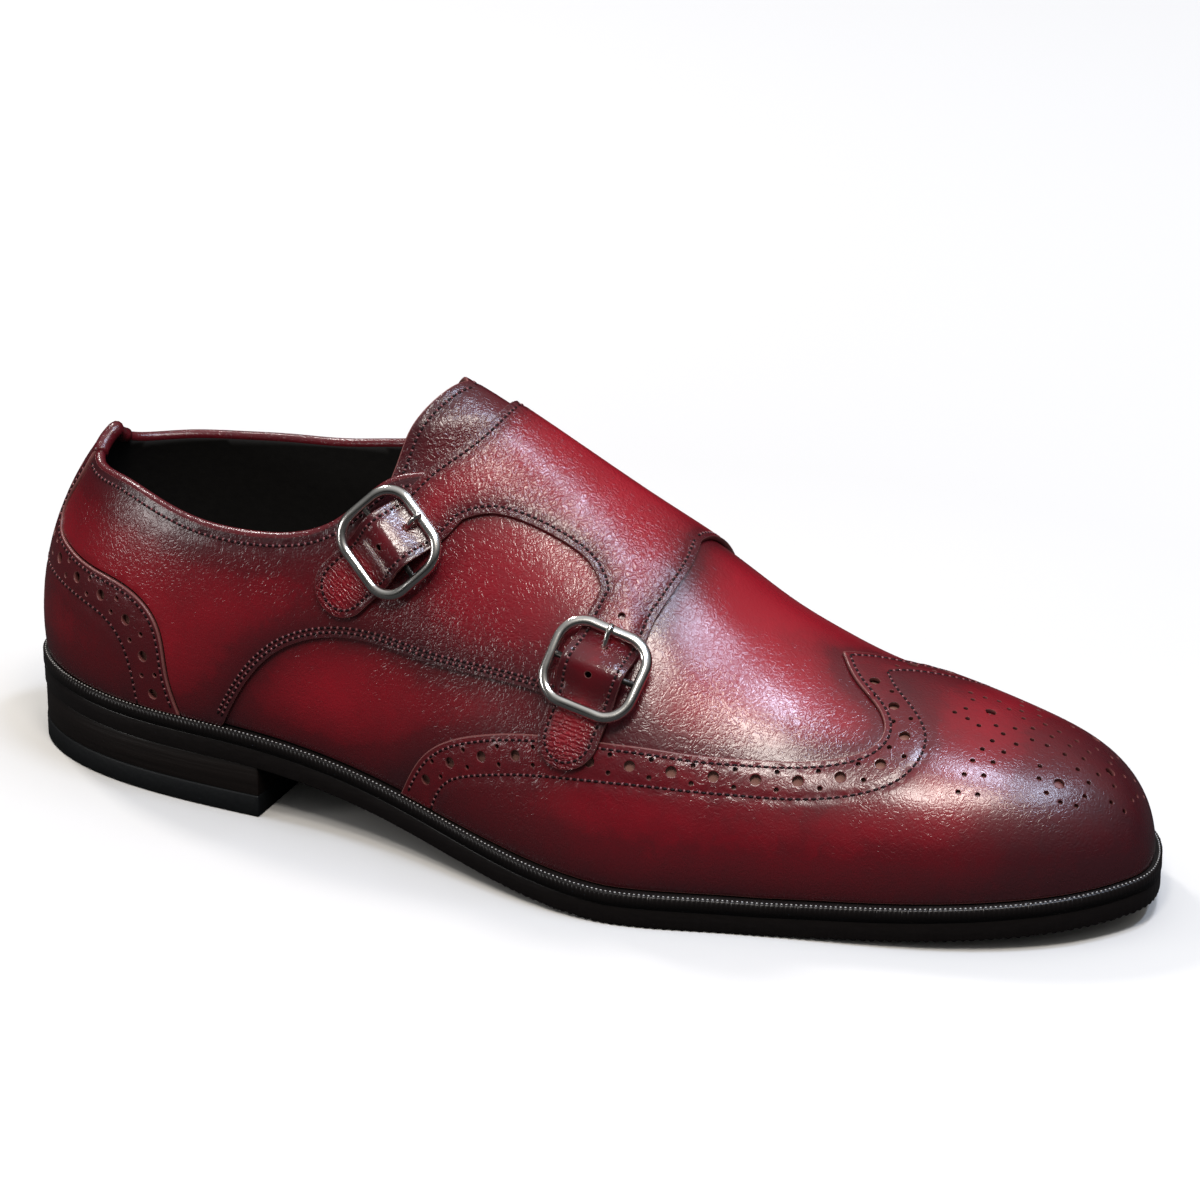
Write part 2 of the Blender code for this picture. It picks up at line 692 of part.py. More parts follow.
def keeper_place(seat):
    def place(turn, across, layer):
        radius = BAR_RADIUS + GAP + KEEPER_WALL * layer
        angle = np.clip(turn, -math.pi / 2, math.pi / 2)
        along = radius * np.sin(angle)
        level = BAR_LEVEL + radius * np.cos(angle) - (np.abs(turn - angle)) * KEEPER_RADIUS
        places = seat.find(along, across * KEEPER_RADIUS, level)
        return skin(places[:, 0], places[:, 1], level)
    return place


# The sole

ALL_COLUMNS = np.concatenate([-COLUMNS[:0:-1], COLUMNS[:-1]])


def ring_of(stations, inset=0.0):
    return [tuple(point) for point in sole_edge(stations, inset)]


def inner_ring(edge, width):
    """The edge moved inward, without the points that would fold over at a tight turn."""
    ring = sole_edge(ALL_COLUMNS, width)
    kept = []
    for point in ring[distance(ring, edge) > .97 * width]:
        if all(math.dist(point, other) > CLOSEST * .8 for other in kept):
            kept.append(tuple(point))
    return kept


def heel_outline():
    """The sole's edge behind the breast, set in a little, and the straight breast."""
    breast = HEEL_LENGTH - LENGTH / 2
    fine = np.linspace(BACK / 2, BACK, 1200)
    stations = []
    for side in (1, -1):
        x = sole_edge(side * fine, HEEL_INSET)[:, 0]
        stations.append(side * float(np.interp(-breast, -x, fine)))
    lateral, medial = stations
    behind = [c for c in COLUMNS if c > lateral + .1]
    across = [-c for c in COLUMNS[::-1] if -c < medial - .1][1:]
    return ring_of(np.array([lateral, *behind, *across, medial]), HEEL_INSET)


def build_sole():
    edge = ring_of(ALL_COLUMNS)
    plate("outsole", edge, underside, outsole_top, "sole_leather")
    plate("welt", edge, lambda x: outsole_top(x) + GAP, welt_top, "sole_leather",
          holes=[inner_ring(edge, WELT_WIDTH)])
    heel = heel_outline()
    plate("heel_stack", heel, lambda x: np.full_like(x, TOP_PIECE_THICKNESS + GAP),
          lambda x: underside(x) - GAP, "sole_leather")
    plate("heel_top_piece", heel, lambda x: np.zeros_like(x),
          lambda x: np.full_like(x, TOP_PIECE_THICKNESS), "rubber")
    insole_edge = ring_of(ALL_COLUMNS, MARGIN(ALL_COLUMNS) * WELT_MARGIN + 2.5 * GAP)
    plate("insole", insole_edge, lambda x: welt_top(x) + GAP,
          lambda x: welt_top(x) + GAP + INSOLE_THICKNESS, "insole_leather")


# The upper and what is wrapped over it

def build_upper():
    medial_topline = mirrored(along_topline(MEDIAL_TOPLINE, THROAT, BACK))
    loop = outline(
        along_foot(-BACK, BACK),
        along_back(1, 0, LATERAL_TOPLINE(BACK)),
        along_topline(LATERAL_TOPLINE, BACK, THROAT),
        along_ridge(THROAT, -THROAT),
        medial_topline,
        along_back(-1, MEDIAL_TOPLINE(BACK), 0))
    overlay("upper", [filled(loop, points=GRID)], 0.0, UPPER_WALL, "burgundy_leather")


def build_tongue():
    edge = smooth(TONGUE_EDGE)
    low, high = TONGUE_EDGE[0][0], TONGUE_EDGE[-1][0]
    lateral = outline(edge, along_ridge(high, low))
    medial = outline(mirrored(edge), along_ridge(-high, -low))
    sheets = [filled(loop, points=GRID) for loop in (lateral, medial)]
    overlay("tongue", sheets, -1.5 * GAP - TONGUE_WALL, TONGUE_WALL, "burgundy_leather")


def build_wing_cap():
    edge = smooth(WING_EDGE)
    foot, peak = WING_EDGE[0][0], WING_EDGE[-1][0]
    loop = outline(edge, along_ridge(peak, -peak), mirrored(edge)[::-1], along_foot(-foot, foot))
    overlay("wing_cap", [filled(loop, points=GRID)], OVERLAY_LEVEL, OVERLAY_WALL, "plum_leather")


def beside(points, amount):
    """A flat outline's run moved to its left by a length measured on the last."""
    places = np.array(points) / (1, STRETCH)
    station, share = places.T
    reach = 1e-3
    level = np.full_like(share, OVERLAY_LEVEL)
    by_station = (skin(station + reach, share, level) - skin(station - reach, share, level)) / (2 * reach)
    by_share = (skin(station, share + reach, level) - skin(station, share - reach, level)) / (2 * reach)
    slopes = np.stack([by_station, by_share], -1)
    run = np.einsum("nij,nj->ni", slopes, np.gradient(places, axis=0))
    side = np.cross(last_normal(station, share), run)
    side *= amount / np.linalg.norm(side, axis=-1, keepdims=True)
    shift = [np.linalg.lstsq(slope, s, rcond=None)[0] for slope, s in zip(slopes, side)]
    return flat(places + shift)


def cut_at_topline(edge, curve):
    """The part of an edge below the topline, ending on it."""
    kept = [point for point in edge if point[1] < float(curve(point[0])) * STRETCH - .05]
    station = edge[-1][0]
    return [*kept, (station, float(curve(station)) * STRETCH)]


def build_heel_counter():
    edge = smooth(COUNTER_EDGE)
    sheets = []
    for side, curve in ((1, LATERAL_TOPLINE), (-1, MEDIAL_TOPLINE)):
        cut = cut_at_topline(edge, curve)
        top = along_topline(curve, cut[-1][0], BACK)
        half = outline(cut, top, along_back(1, float(curve(BACK)), 0),
                       along_foot(BACK, cut[0][0]))
        half = [(side * station, height) for station, height in half]
        sheets.append(filled(half, points=GRID))
    overlay("heel_counter", sheets, OVERLAY_LEVEL, COUNTER_WALL, "plum_leather")


def quarter_back(curve):
    """Rear edge of a quarter: the counter's edge and a gap, from the topline down."""
    edge = cut_at_topline(smooth(COUNTER_EDGE), curve)
    return beside(edge, -2.2 * GAP)[::-1]


def build_lateral_quarter():
    back = quarter_back(LATERAL_TOPLINE)
    start, _ = back[0]
    throat = QUARTER_FRONT[-1][0]
    front = smooth(QUARTER_FRONT)
    top = along_topline(LATERAL_TOPLINE, throat, start)
    back = [(start, top[-1][1]), *back[1:]]
    loop = outline(smooth(QUARTER_EDGE), front, top, back,
                   along_foot(back[-1][0], QUARTER_EDGE[0][0]))
    overlay("lateral_quarter", [filled(loop, points=GRID)], OVERLAY_LEVEL, OVERLAY_WALL,
            "burgundy_leather")


def strap_quarter_level(station, share):
    """On the upper at the medial side, over the lateral quarter past the crown."""
    ramp = np.clip((share - .70) / .25, 0, 1)
    ramp = np.where(station < 0, ramp * ramp * (3 - 2 * ramp), 1)
    level = OVERLAY_LEVEL + (STRAP_LEVEL - OVERLAY_LEVEL) * ramp
    lateral = station > 0
    for seat in SEATS.values():
        level = level + np.where(lateral, seat.lift(station, share), 0)
    return level


def build_strap_quarter():
    first, second = SEATS["1"], SEATS["2"]
    lateral = outline(
        smooth(FLAP_FRONT),
        strap_outline(second),
        smooth(FLAP_NOTCH),
        strap_outline(first),
        smooth(FLAP_TOP),
        along_ridge(FLAP_TOP[-1][0], FLAP_FRONT[0][0]))
    back = quarter_back(MEDIAL_TOPLINE)
    start, _ = back[0]
    top = along_topline(MEDIAL_TOPLINE, MEDIAL_TOP[-1][0], start)
    back = [(start, top[-1][1]), *back[1:]]
    medial = mirrored(outline(
        smooth(QUARTER_EDGE), smooth(MEDIAL_FRONT),
        along_ridge(MEDIAL_FRONT[-1][0], MEDIAL_TOP[0][0]),
        smooth(MEDIAL_TOP), top, back,
        along_foot(back[-1][0], QUARTER_EDGE[0][0])))
    points = np.array(strap_points(first) + strap_points(second))
    holes = [prong_hole(seat) for seat in SEATS.values()]
    around = np.concatenate([clear_of(GRID, points), points])
    sheets = [filled(lateral, holes, around, margin=.05),
              filled(medial, points=GRID)]
    overlay("strap_quarter", sheets, strap_quarter_level, STRAP_WALL, "burgundy_leather")


def build_buckles():
    frame, prong, keeper = frame_mesh(), prong_mesh(), keeper_sheet()
    for name, seat in SEATS.items():
        seated(f"buckle_frame_{name}", frame.copy(), seat, "polished_nickel")
        seated(f"buckle_prong_{name}", prong.copy(), seat, "polished_nickel")
        thick_sheet(f"buckle_keeper_{name}", [keeper], keeper_place(seat), "burgundy_leather")


def main():
    for item in list(bpy.data.objects):
        bpy.data.objects.remove(item)
    for name in ("monk_strap_shoe", "cutters"):
        collection = bpy.data.collections.new(name)
        bpy.context.scene.collection.children.link(collection)
    build_sole()
    build_upper()
    build_tongue()
    build_wing_cap()
    build_heel_counter()
    build_lateral_quarter()
    build_strap_quarter()
    build_buckles()


main()
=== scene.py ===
"""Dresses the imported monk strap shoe: calf leather, stitching, punching, buckles and sole.

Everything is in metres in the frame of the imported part: +Z up, toe toward +X, the lateral
side with the buckles toward -Y.
"""
import math
from collections import namedtuple

import bmesh
import bpy
import numpy as np
from mathutils import Matrix, Vector, kdtree
from mathutils.geometry import delaunay_2d_cdt


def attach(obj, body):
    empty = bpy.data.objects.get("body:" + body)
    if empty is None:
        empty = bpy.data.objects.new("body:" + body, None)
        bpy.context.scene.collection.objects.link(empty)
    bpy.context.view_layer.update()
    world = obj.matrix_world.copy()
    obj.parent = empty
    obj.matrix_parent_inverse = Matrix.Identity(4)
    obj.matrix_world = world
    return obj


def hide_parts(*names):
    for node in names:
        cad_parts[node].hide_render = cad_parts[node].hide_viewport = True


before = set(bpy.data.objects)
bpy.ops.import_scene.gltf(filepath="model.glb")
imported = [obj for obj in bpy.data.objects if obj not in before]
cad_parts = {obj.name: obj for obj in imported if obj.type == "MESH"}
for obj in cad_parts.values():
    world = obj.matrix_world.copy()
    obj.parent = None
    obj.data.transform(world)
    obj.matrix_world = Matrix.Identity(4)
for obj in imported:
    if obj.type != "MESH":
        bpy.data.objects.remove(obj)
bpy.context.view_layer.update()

# Driving sizes of the sole, as the part has them
LENGTH = 0.305
BALL_WIDTH = 0.106
HEEL_RISE = 0.0145
OUTSOLE_THICKNESS = 0.0052
WELT_THICKNESS = 0.0032
WELT_WIDTH = 0.0095
WELT_MARGIN = 0.0054
INSOLE_THICKNESS = 0.003
HEEL_LENGTH = 0.078
HEEL_INSET = 0.0005
TOP_PIECE_THICKNESS = 0.0058

# Driving sizes of the upper, straps and buckles
INSTEP_HEIGHT = 0.105
RIDGE_OFFSET = 0.004
SIDE_FLARE = 0.0065
UPPER_WALL = 0.0016
OVERLAY_WALL = 0.0009
COUNTER_WALL = 0.0014
TONGUE_WALL = 0.0013
STRAP_WALL = 0.0012
STRAP_WIDTH = 0.0155
STRAP_TAIL = 0.025
BUCKLE_LENGTH = 0.0235
BUCKLE_WIDTH = 0.026
BUCKLE_CORNER = 0.008
BUCKLE_WIRE = 0.0027
BAR_RADIUS = 0.0008
KEEPER_WALL = 0.001
KEEPER_WIDTH = 0.010
PRONG_RADIUS = 0.0007
GAP = 0.0003

# Sizes of the finish
EDGE_ROUND = 0.00035
THREAD = 0.00080
GROOVE = 0.00026
GROOVE_WIDTH = 0.0006
BEAD_RADIUS = 0.0014
BIG_PUNCH = 0.0014
SMALL_PUNCH = 0.00065
PUNCH_PITCH = 0.0101
STRAP_HOLE = 0.0009
PUNCH_COLLAR = 0.00035
PUNCH_ROUND = 0.00012
STRAP_REACH = 0.06
FOLD_PITCH = 0.0011
WHEEL_PITCH = 0.0012
WHEEL_DEPTH = 0.00035
TREAD_PITCH = 0.0022
TREAD_DEPTH = 0.0005

# The last: one row for each section, numbered from the toe tip to the heel back. x and
# crown are shares of LENGTH, y of BALL_WIDTH, margin of WELT_MARGIN, flare of SIDE_FLARE;
# rise and roof say how far a rib's two handles reach, as shares of its height and depth.
SECTION_COLUMNS = "lat_x lat_y med_x med_y margin crown flare rise roof".split()
SECTIONS = {
    "toe_tip":    (1.000, 0.010, 1.000, 0.010, .85, .868, .05, .62, .50),
    "toe_corner": (0.986, -.100, 0.986, 0.165, .85, .866, .06, .62, .52),
    "toe_side":   (0.945, -.222, 0.948, 0.290, .89, .855, .09, .62, .56),
    "toe_box":    (0.870, -.330, 0.880, 0.370, .96, .825, .18, .58, .60),
    "vamp":       (0.780, -.394, 0.790, 0.445, 1.0, .765, .31, .52, .58),
    "ball":       (0.690, -.450, 0.700, 0.500, 1.0, .690, .40, .48, .52),
    "little_toe": (0.600, -.506, 0.610, 0.470, 1.0, .600, .44, .44, .46),
    "instep":     (0.510, -.466, 0.510, 0.390, .93, .510, .54, .42, .40),
    "waist":      (0.420, -.382, 0.420, 0.320, .74, .420, .70, .42, .40),
    "heel_front": (0.320, -.322, 0.320, 0.305, .67, .325, .84, .42, .50),
    "heel":       (0.190, -.295, 0.190, 0.300, .70, .245, .92, .42, .60),
    "heel_round": (0.065, -.207, 0.065, 0.235, .80, .195, .80, .42, .60),
    "heel_back":  (0.000, 0.010, 0.000, 0.010, .85, .185, .71, .42, .60),
}
BACK = len(SECTIONS) - 1

# Underside of the sole: share of LENGTH, share of HEEL_RISE; below 0 it is flat
UNDERSIDE = [(0, 1.10), (.13, .99), (.255, .94), (.40, .50), (.50, .18), (.59, .01),
             (.66, -.04), (.73, .01), (.80, .08), (.90, .22), (1.0, .36)]
# Crown of the last, seen from the side: share of LENGTH, share of INSTEP_HEIGHT
CROWN = [(.12, .97), (.20, 1.03), (.30, 1.085), (.38, 1.07), (.44, .995), (.50, .90),
         (.56, .80), (.61, .712), (.655, .615), (.70, .542), (.74, .495), (.80, .458),
         (.868, .412), (.94, .36), (1.0, .31)]

# A place on the last is a station, which counts the sections from the toe tip and is
# negative on the medial side, and a share of the rib there, from the feather edge (0)
# to the crown (1).
THROAT = 7.2
TOPLINE = [(THROAT, 1.0, 1.0), (7.7, .80, .88), (8.2, .655, .73), (8.63, .585, .61),
           (8.93, .495, .535), (9.25, .442, .505), (9.6, .428, .49), (10.0, .440, .495),
           (10.37, .472, .503), (10.83, .510, .515), (11.4, .528, .53), (BACK, .60, .60)]
WING_EDGE = [(8.28, 0), (8.02, .115), (7.48, .215), (6.87, .285), (6.02, .355),
             (4.75, .465), (4.23, .525), (3.88, .60), (3.78, .68), (3.92, .79),
             (4.27, .89), (4.55, 1.0)]
WING_SEAM = [(7.95, 0), (7.80, .075), (7.45, .135), (6.80, .205), (6.05, .262), (4.93, .333),
             (4.35, .370), (3.95, .410), (3.58, .485), (3.38, .60), (3.36, .72), (3.55, .83),
             (3.87, .94), (4.0, 1.0)]
QUARTER_EDGE = [(9.77, 0), (9.58, .115), (9.30, .215), (8.97, .26), (8.08, .295),
                (7.53, .33), (6.83, .375), (6.20, .40)]
QUARTER_FRONT = [(6.20, .40), (6.16, .50), (6.20, .62), (6.42, .74), (6.95, .81),
                 (THROAT + .55, .845)]
COUNTER_EDGE = [(10.07, 0), (10.14, .10), (10.24, .22), (10.42, .265), (10.90, .295),
                (11.25, .315), (11.50, .34), (11.60, .375), (11.55, .45), (11.57, .535)]
COUNTER_SEAM = [(10.40, 0), (10.44, .11), (10.52, .16), (10.64, .19), (10.86, .210),
                (11.20, .225), (11.60, .235), (BACK, .24)]
COUNTER_PUNCHES = [(10.24, 0), (10.28, .10), (10.37, .17), (10.55, .225), (10.80, .247),
                   (11.10, .263), (11.43, .283), (11.68, .32), (11.80, .38), (11.79, .46),
                   (11.80, .53)]
FLAP_FRONT = [(6.00, 1.0), (5.95, .895), (5.97, .76), (6.02, .67)]
FLAP_NOTCH = [(6.54, .655), (6.68, .685), (7.00, .692), (7.35, .676), (7.68, .642),
              (7.90, .595)]
FLAP_TOP = [(8.27, .66), (8.05, .755), (7.90, .87), (7.85, 1.0)]
MEDIAL_FRONT = [(6.20, .40), (6.12, .50), (6.06, .62), (6.02, .80), (6.00, 1.0)]
MEDIAL_TOP = [(7.85, 1.0), (7.87, .91), (7.98, .82), (8.22, .74), (8.63, .64)]
TONGUE_EDGE = [(6.4, 1.0), (6.4, .72), (6.7, .64), (8.40, .52), (8.60, .54), (8.61, .64),
               (8.55, .72), (8.38, .87), (8.25, 1.0)]
# Buckles: station and share of the bar's middle, and of the strap's tip
BUCKLES = {"1": (8.48, .480, 9.02, .315), "2": (6.38, .480, 6.56, .255)}

# Toe medallion: millimetres from the heel's middle forward, and out from its own axis
MEDALLION_AXIS = ((105.0, 2.6), (137.0, 4.2))
MEDALLION_BIG = [(108.0, 0.0), (137.3, 0.0), (129.5, 12.6)]
MEDALLION_SMALL = [
    (115.2, 2.8), (113.6, 6.4), (112.2, 10.0), (110.9, 13.6), (109.8, 17.2), (109.1, 20.8),
    (109.0, 24.4), (120.0, 4.4), (117.4, 8.0), (115.7, 11.8), (114.4, 15.6), (113.6, 19.4),
    (113.5, 23.2), (102.6, 2.6), (100.9, 5.6), (104.4, 6.0), (107.6, 6.8),
    (111.0, 4.6), (118.6, 0.0), (123.2, 0.0), (127.6, 0.0), (123.6, 4.0), (127.9, 4.0),
    (131.6, 2.0), (131.9, 6.2), (124.4, 11.2), (125.1, 14.2), (127.7, 15.9), (131.0, 16.0),
    (134.2, 14.2), (135.2, 11.2), (134.9, 7.6), (135.9, 3.9), (139.4, 3.6), (143.0, 1.8),
    (140.4, 7.6), (143.0, 6.4)]

# Mesh
FINE = 0.0014
RIB_ROWS = np.linspace(0, 1, 57)
STRETCH = 4.0
OUTLINE_STEP = 0.045
SEW = 0.00005
SOLE_STEP = 0.0010

# Levels above the last's surface
OVERLAY_LEVEL = UPPER_WALL + GAP
STRAP_LEVEL = OVERLAY_LEVEL + OVERLAY_WALL + GAP
KEEPER_RADIUS = BAR_RADIUS + GAP + KEEPER_WALL
BAR_LEVEL = STRAP_LEVEL + KEEPER_RADIUS
FRAME_LEVEL = STRAP_LEVEL + STRAP_WALL + GAP + BUCKLE_WIRE / 2
STRAP_LIFT = BAR_LEVEL + KEEPER_RADIUS + GAP - STRAP_LEVEL
LIFT_REACH = BUCKLE_LENGTH / 2 - BUCKLE_WIRE
BAND_SINK = 0.0005
BEAD_LEVEL = 0.0014
PRONG_HOLE = LIFT_REACH * .62

# Pitch of the stitches, and how far their rows lie inside an edge or below the topline
FLAP_STITCH = 0.0017
QUARTER_STITCH = 0.0018
WING_STITCH = 0.0019
ROW_INSET = 0.0016
TOPLINE_INSET = 0.0020


# Curves

class Spline:
    """Smooth cubic curve through values at rising places, closed if periodic."""

    def __init__(self, places, values, periodic=False):
        self.places = np.asarray(places, float)
        self.values = np.asarray(values, float)
        self.slopes = self.solve_slopes(periodic)

    def solve_slopes(self, periodic):
        step = np.diff(self.places)
        rise = np.diff(self.values) / step
        count = len(self.places)
        matrix = np.zeros((count, count))
        right = np.zeros(count)
        for i in range(1, count - 1):
            matrix[i, i - 1:i + 2] = step[i], 2 * (step[i] + step[i - 1]), step[i - 1]
            right[i] = 3 * (step[i] * rise[i - 1] + step[i - 1] * rise[i])
        if periodic:
            matrix[0, [0, 1, -2]] = 2 * (step[0] + step[-1]), step[-1], step[0]
            right[0] = 3 * (step[-1] * rise[0] + step[0] * rise[-1])
            matrix[-1, [0, -1]] = 1, -1
        else:
            matrix[0, :2] = 2, 1
            matrix[-1, -2:] = 1, 2
            right[0], right[-1] = 3 * rise[0], 3 * rise[-1]
        return np.linalg.solve(matrix, right)

    def __call__(self, x):
        x = np.asarray(x, float)
        i = np.clip(np.searchsorted(self.places, x, side="right") - 1, 0, len(self.places) - 2)
        step = self.places[i + 1] - self.places[i]
        t = (x - self.places[i]) / step
        ends = (2 * t**3 - 3 * t**2 + 1) * self.values[i] + (3 * t**2 - 2 * t**3) * self.values[i + 1]
        bend = (t**3 - 2 * t**2 + t) * self.slopes[i] + (t**3 - t**2) * self.slopes[i + 1]
        return ends + step * bend


def section_curve(lateral, medial):
    """Closed curve over the stations through one column of SECTIONS on each side."""
    rows = [dict(zip(SECTION_COLUMNS, row)) for row in SECTIONS.values()]
    values = [row[medial] for row in rows[:0:-1]] + [row[lateral] for row in rows]
    return Spline(np.arange(-BACK, BACK + 1), values, periodic=True)


SECTION_X = section_curve("lat_x", "med_x")
SECTION_Y = section_curve("lat_y", "med_y")
MARGIN, CROWN_X, FLARE, RISE, ROOF = (
    section_curve(name, name) for name in ("margin", "crown", "flare", "rise", "roof"))
UNDERSIDE_CURVE = Spline(*zip(*UNDERSIDE))
CROWN_CURVE = Spline(*zip(*CROWN))
LATERAL_TOPLINE = Spline([row[0] for row in TOPLINE], [row[1] for row in TOPLINE])
MEDIAL_TOPLINE = Spline([row[0] for row in TOPLINE], [row[2] for row in TOPLINE])


# Sole and last

def wrapped(station):
    return (np.asarray(station, float) + BACK) % (2 * BACK) - BACK


def raw_edge(station):
    station = wrapped(station)
    return np.stack([SECTION_X(station) * LENGTH, SECTION_Y(station) * BALL_WIDTH], -1)


EDGE_SAMPLES = raw_edge(np.linspace(-BACK, BACK, 2401))
MIDDLE = (EDGE_SAMPLES.min(0) + EDGE_SAMPLES.max(0)) / 2


def sole_edge(station, inset=0.0):
    """Edge of the sole in plan, moved inward by inset."""
    reach = 1e-3
    along = raw_edge(np.asarray(station) + reach) - raw_edge(np.asarray(station) - reach)
    along /= np.linalg.norm(along, axis=-1, keepdims=True)
    inward = np.stack([along[..., 1], -along[..., 0]], -1)
    return raw_edge(station) - MIDDLE + inward * np.asarray(inset)[..., None]


def length_share(x):
    return (np.asarray(x) + MIDDLE[0]) / LENGTH


def underside(x):
    return np.maximum(UNDERSIDE_CURVE(np.clip(length_share(x), 0, 1)), 0) * HEEL_RISE


def outsole_top(x):
    return underside(x) + OUTSOLE_THICKNESS


def welt_top(x):
    return outsole_top(x) + GAP + WELT_THICKNESS


def crown_height(x):
    return CROWN_CURVE(length_share(x)) * INSTEP_HEIGHT


def crown_slope(x):
    reach = 1e-4
    return (crown_height(x + reach) - crown_height(x - reach)) / (2 * reach)


def rib(station):
    """The four control points of the rib at a station, feather edge first."""
    station = wrapped(station)
    foot = sole_edge(station, MARGIN(station) * WELT_MARGIN)
    foot_z = welt_top(foot[..., 0]) + GAP
    top_x = CROWN_X(station) * LENGTH - MIDDLE[0]
    top = np.stack([top_x, np.full_like(top_x, RIDGE_OFFSET)], -1)
    top_z = crown_height(top_x)
    depth = np.linalg.norm(top - foot, axis=-1)
    inward = (top - foot) / depth[..., None]
    low = foot - inward * (FLARE(station) * SIDE_FLARE)[..., None]
    low_z = foot_z + RISE(station) * (top_z - foot_z)
    reach = ROOF(station) * depth
    high = top - inward * reach[..., None]
    high_z = top_z - inward[..., 0] * reach * crown_slope(top_x)
    plan = [foot, low, high, top]
    heights = [foot_z, low_z, high_z, top_z]
    return [np.concatenate([p, z[..., None]], -1) for p, z in zip(plan, heights)]


def last_point(station, share):
    t = np.asarray(share, float)[..., None]
    foot, low, high, top = rib(station)
    return (1 - t)**3 * foot + 3 * t * (1 - t)**2 * low + 3 * t**2 * (1 - t) * high + t**3 * top


def last_normal(station, share):
    """Outward direction; on the crown it is the same from both sides."""
    reach = 2e-3
    station, share = np.asarray(station, float), np.asarray(share, float)
    low, high = np.maximum(share - reach, 0), np.minimum(share + reach, 1)
    up = last_point(station, high) - last_point(station, low)
    along = last_point(station + reach, share) - last_point(station - reach, share)
    outward = np.cross(up, along)
    slope = crown_slope(last_point(station, np.ones_like(share))[..., 0])
    ridge = np.stack([-slope, np.zeros_like(slope), np.ones_like(slope)], -1)
    outward = np.where((share > .999)[..., None], ridge, outward)
    return outward / np.linalg.norm(outward, axis=-1, keepdims=True)


def skin(station, share, level):
    """Point at a level above the last's surface, kept clear of the welt."""
    point = last_point(station, share)
    point = point + last_normal(station, share) * np.asarray(level)[..., None]
    point[..., 2] = np.maximum(point[..., 2], welt_top(point[..., 0]) + GAP)
    return point


def run_along(points):
    """How far each point of a row lies along it."""
    steps = np.linalg.norm(np.diff(points, axis=0), axis=1)
    return np.concatenate([[0], np.cumsum(steps)])


def picked(points, run, at):
    """Points of a row at lengths along it."""
    return np.stack([np.interp(at, run, column) for column in np.transpose(points)], -1)


# Flat patterns: stations across, shares times STRETCH upward

def flat(places):
    return [(float(station), float(share) * STRETCH) for station, share in places]


def smooth(places, step=OUTLINE_STEP):
    """Points along a smooth open curve through places on the last."""
    points = np.array(flat(places))
    run = run_along(points)
    fine = np.linspace(0, run[-1], max(2, round(run[-1] / step) + 1))
    across, up = Spline(run, points[:, 0]), Spline(run, points[:, 1])
    return list(zip(across(fine).tolist(), up(fine).tolist()))


def even(run, count):
    """A run's points at even shares of its length on the flat pattern."""
    length = run_along(run)
    return picked(run, length, np.linspace(0, length[-1], count)).tolist()


def mirrored(points):
    return [(-station, height) for station, height in points]


def even_stations(share):
    """Stations of one side that lie FINE apart at this share of their ribs."""
    fine = np.linspace(0, BACK, 2401)
    run = run_along(last_point(fine, np.full_like(fine, share)))
    return np.interp(np.linspace(0, run[-1], round(run[-1] / FINE) + 1), run, fine)


FOOT_STATIONS = even_stations(0.0)
RIDGE_STATIONS = even_stations(1.0)
PATTERN_GRID = np.array([(side * station, share * STRETCH)
                         for share in RIB_ROWS[1:-1] for side in (1, -1)
                         for station in even_stations(share)
                         if side > 0 or 0 < station < BACK])


def between(start, end, values):
    """start, the values strictly inside, and end, in order."""
    low, high = min(start, end), max(start, end)
    within = sorted({float(v) for v in values if low + .01 < v < high - .01})
    return [start, *(within if start < end else reversed(within)), end]


def along_foot(start, end):
    return [(station, 0.0) for station in between(start, end, [*FOOT_STATIONS, *(-FOOT_STATIONS)])]


def along_ridge(start, end):
    return [(station, STRETCH) for station in between(start, end, [*RIDGE_STATIONS, *(-RIDGE_STATIONS)])]


def along_back(side, start, end):
    return [(side * BACK, height)
            for height in between(start * STRETCH, end * STRETCH, RIB_ROWS * STRETCH)]


def along_topline(curve, start, end):
    return smooth([(station, float(curve(station))) for station in np.linspace(start, end, 40)])


def outline(*runs):
    """One closed outline from runs that start where the last one ended."""
    points = []
    for run in runs:
        for point in run:
            if not points or math.dist(point, points[-1]) > 1e-4:
                points.append(tuple(point))
    if math.dist(points[0], points[-1]) < 1e-4:
        points.pop()
    return points


def inside(points, loop):
    """Which points lie inside a closed outline."""
    x, y = points[:, 0], points[:, 1]
    result = np.zeros(len(points), bool)
    for (x1, y1), (x2, y2) in zip(loop, loop[1:] + loop[:1]):
        if y1 != y2:
            crosses = (y1 > y) != (y2 > y)
            result ^= crosses & (x < (x2 - x1) * (y - y1) / (y2 - y1) + x1)
    return result


def ramp(value, low, high):
    t = np.clip((value - low) / (high - low), 0, 1)
    return t * t * (3 - 2 * t)


class Nearest:
    """Distances to a cloud of points."""

    def __init__(self, points):
        self.tree = kdtree.KDTree(len(points))
        for i, point in enumerate(points):
            self.tree.insert((*point, 0, 0)[:3], i)
        self.tree.balance()

    def __call__(self, points):
        return np.array([self.tree.find((*point, 0, 0)[:3])[2] for point in points])


# Leather pieces

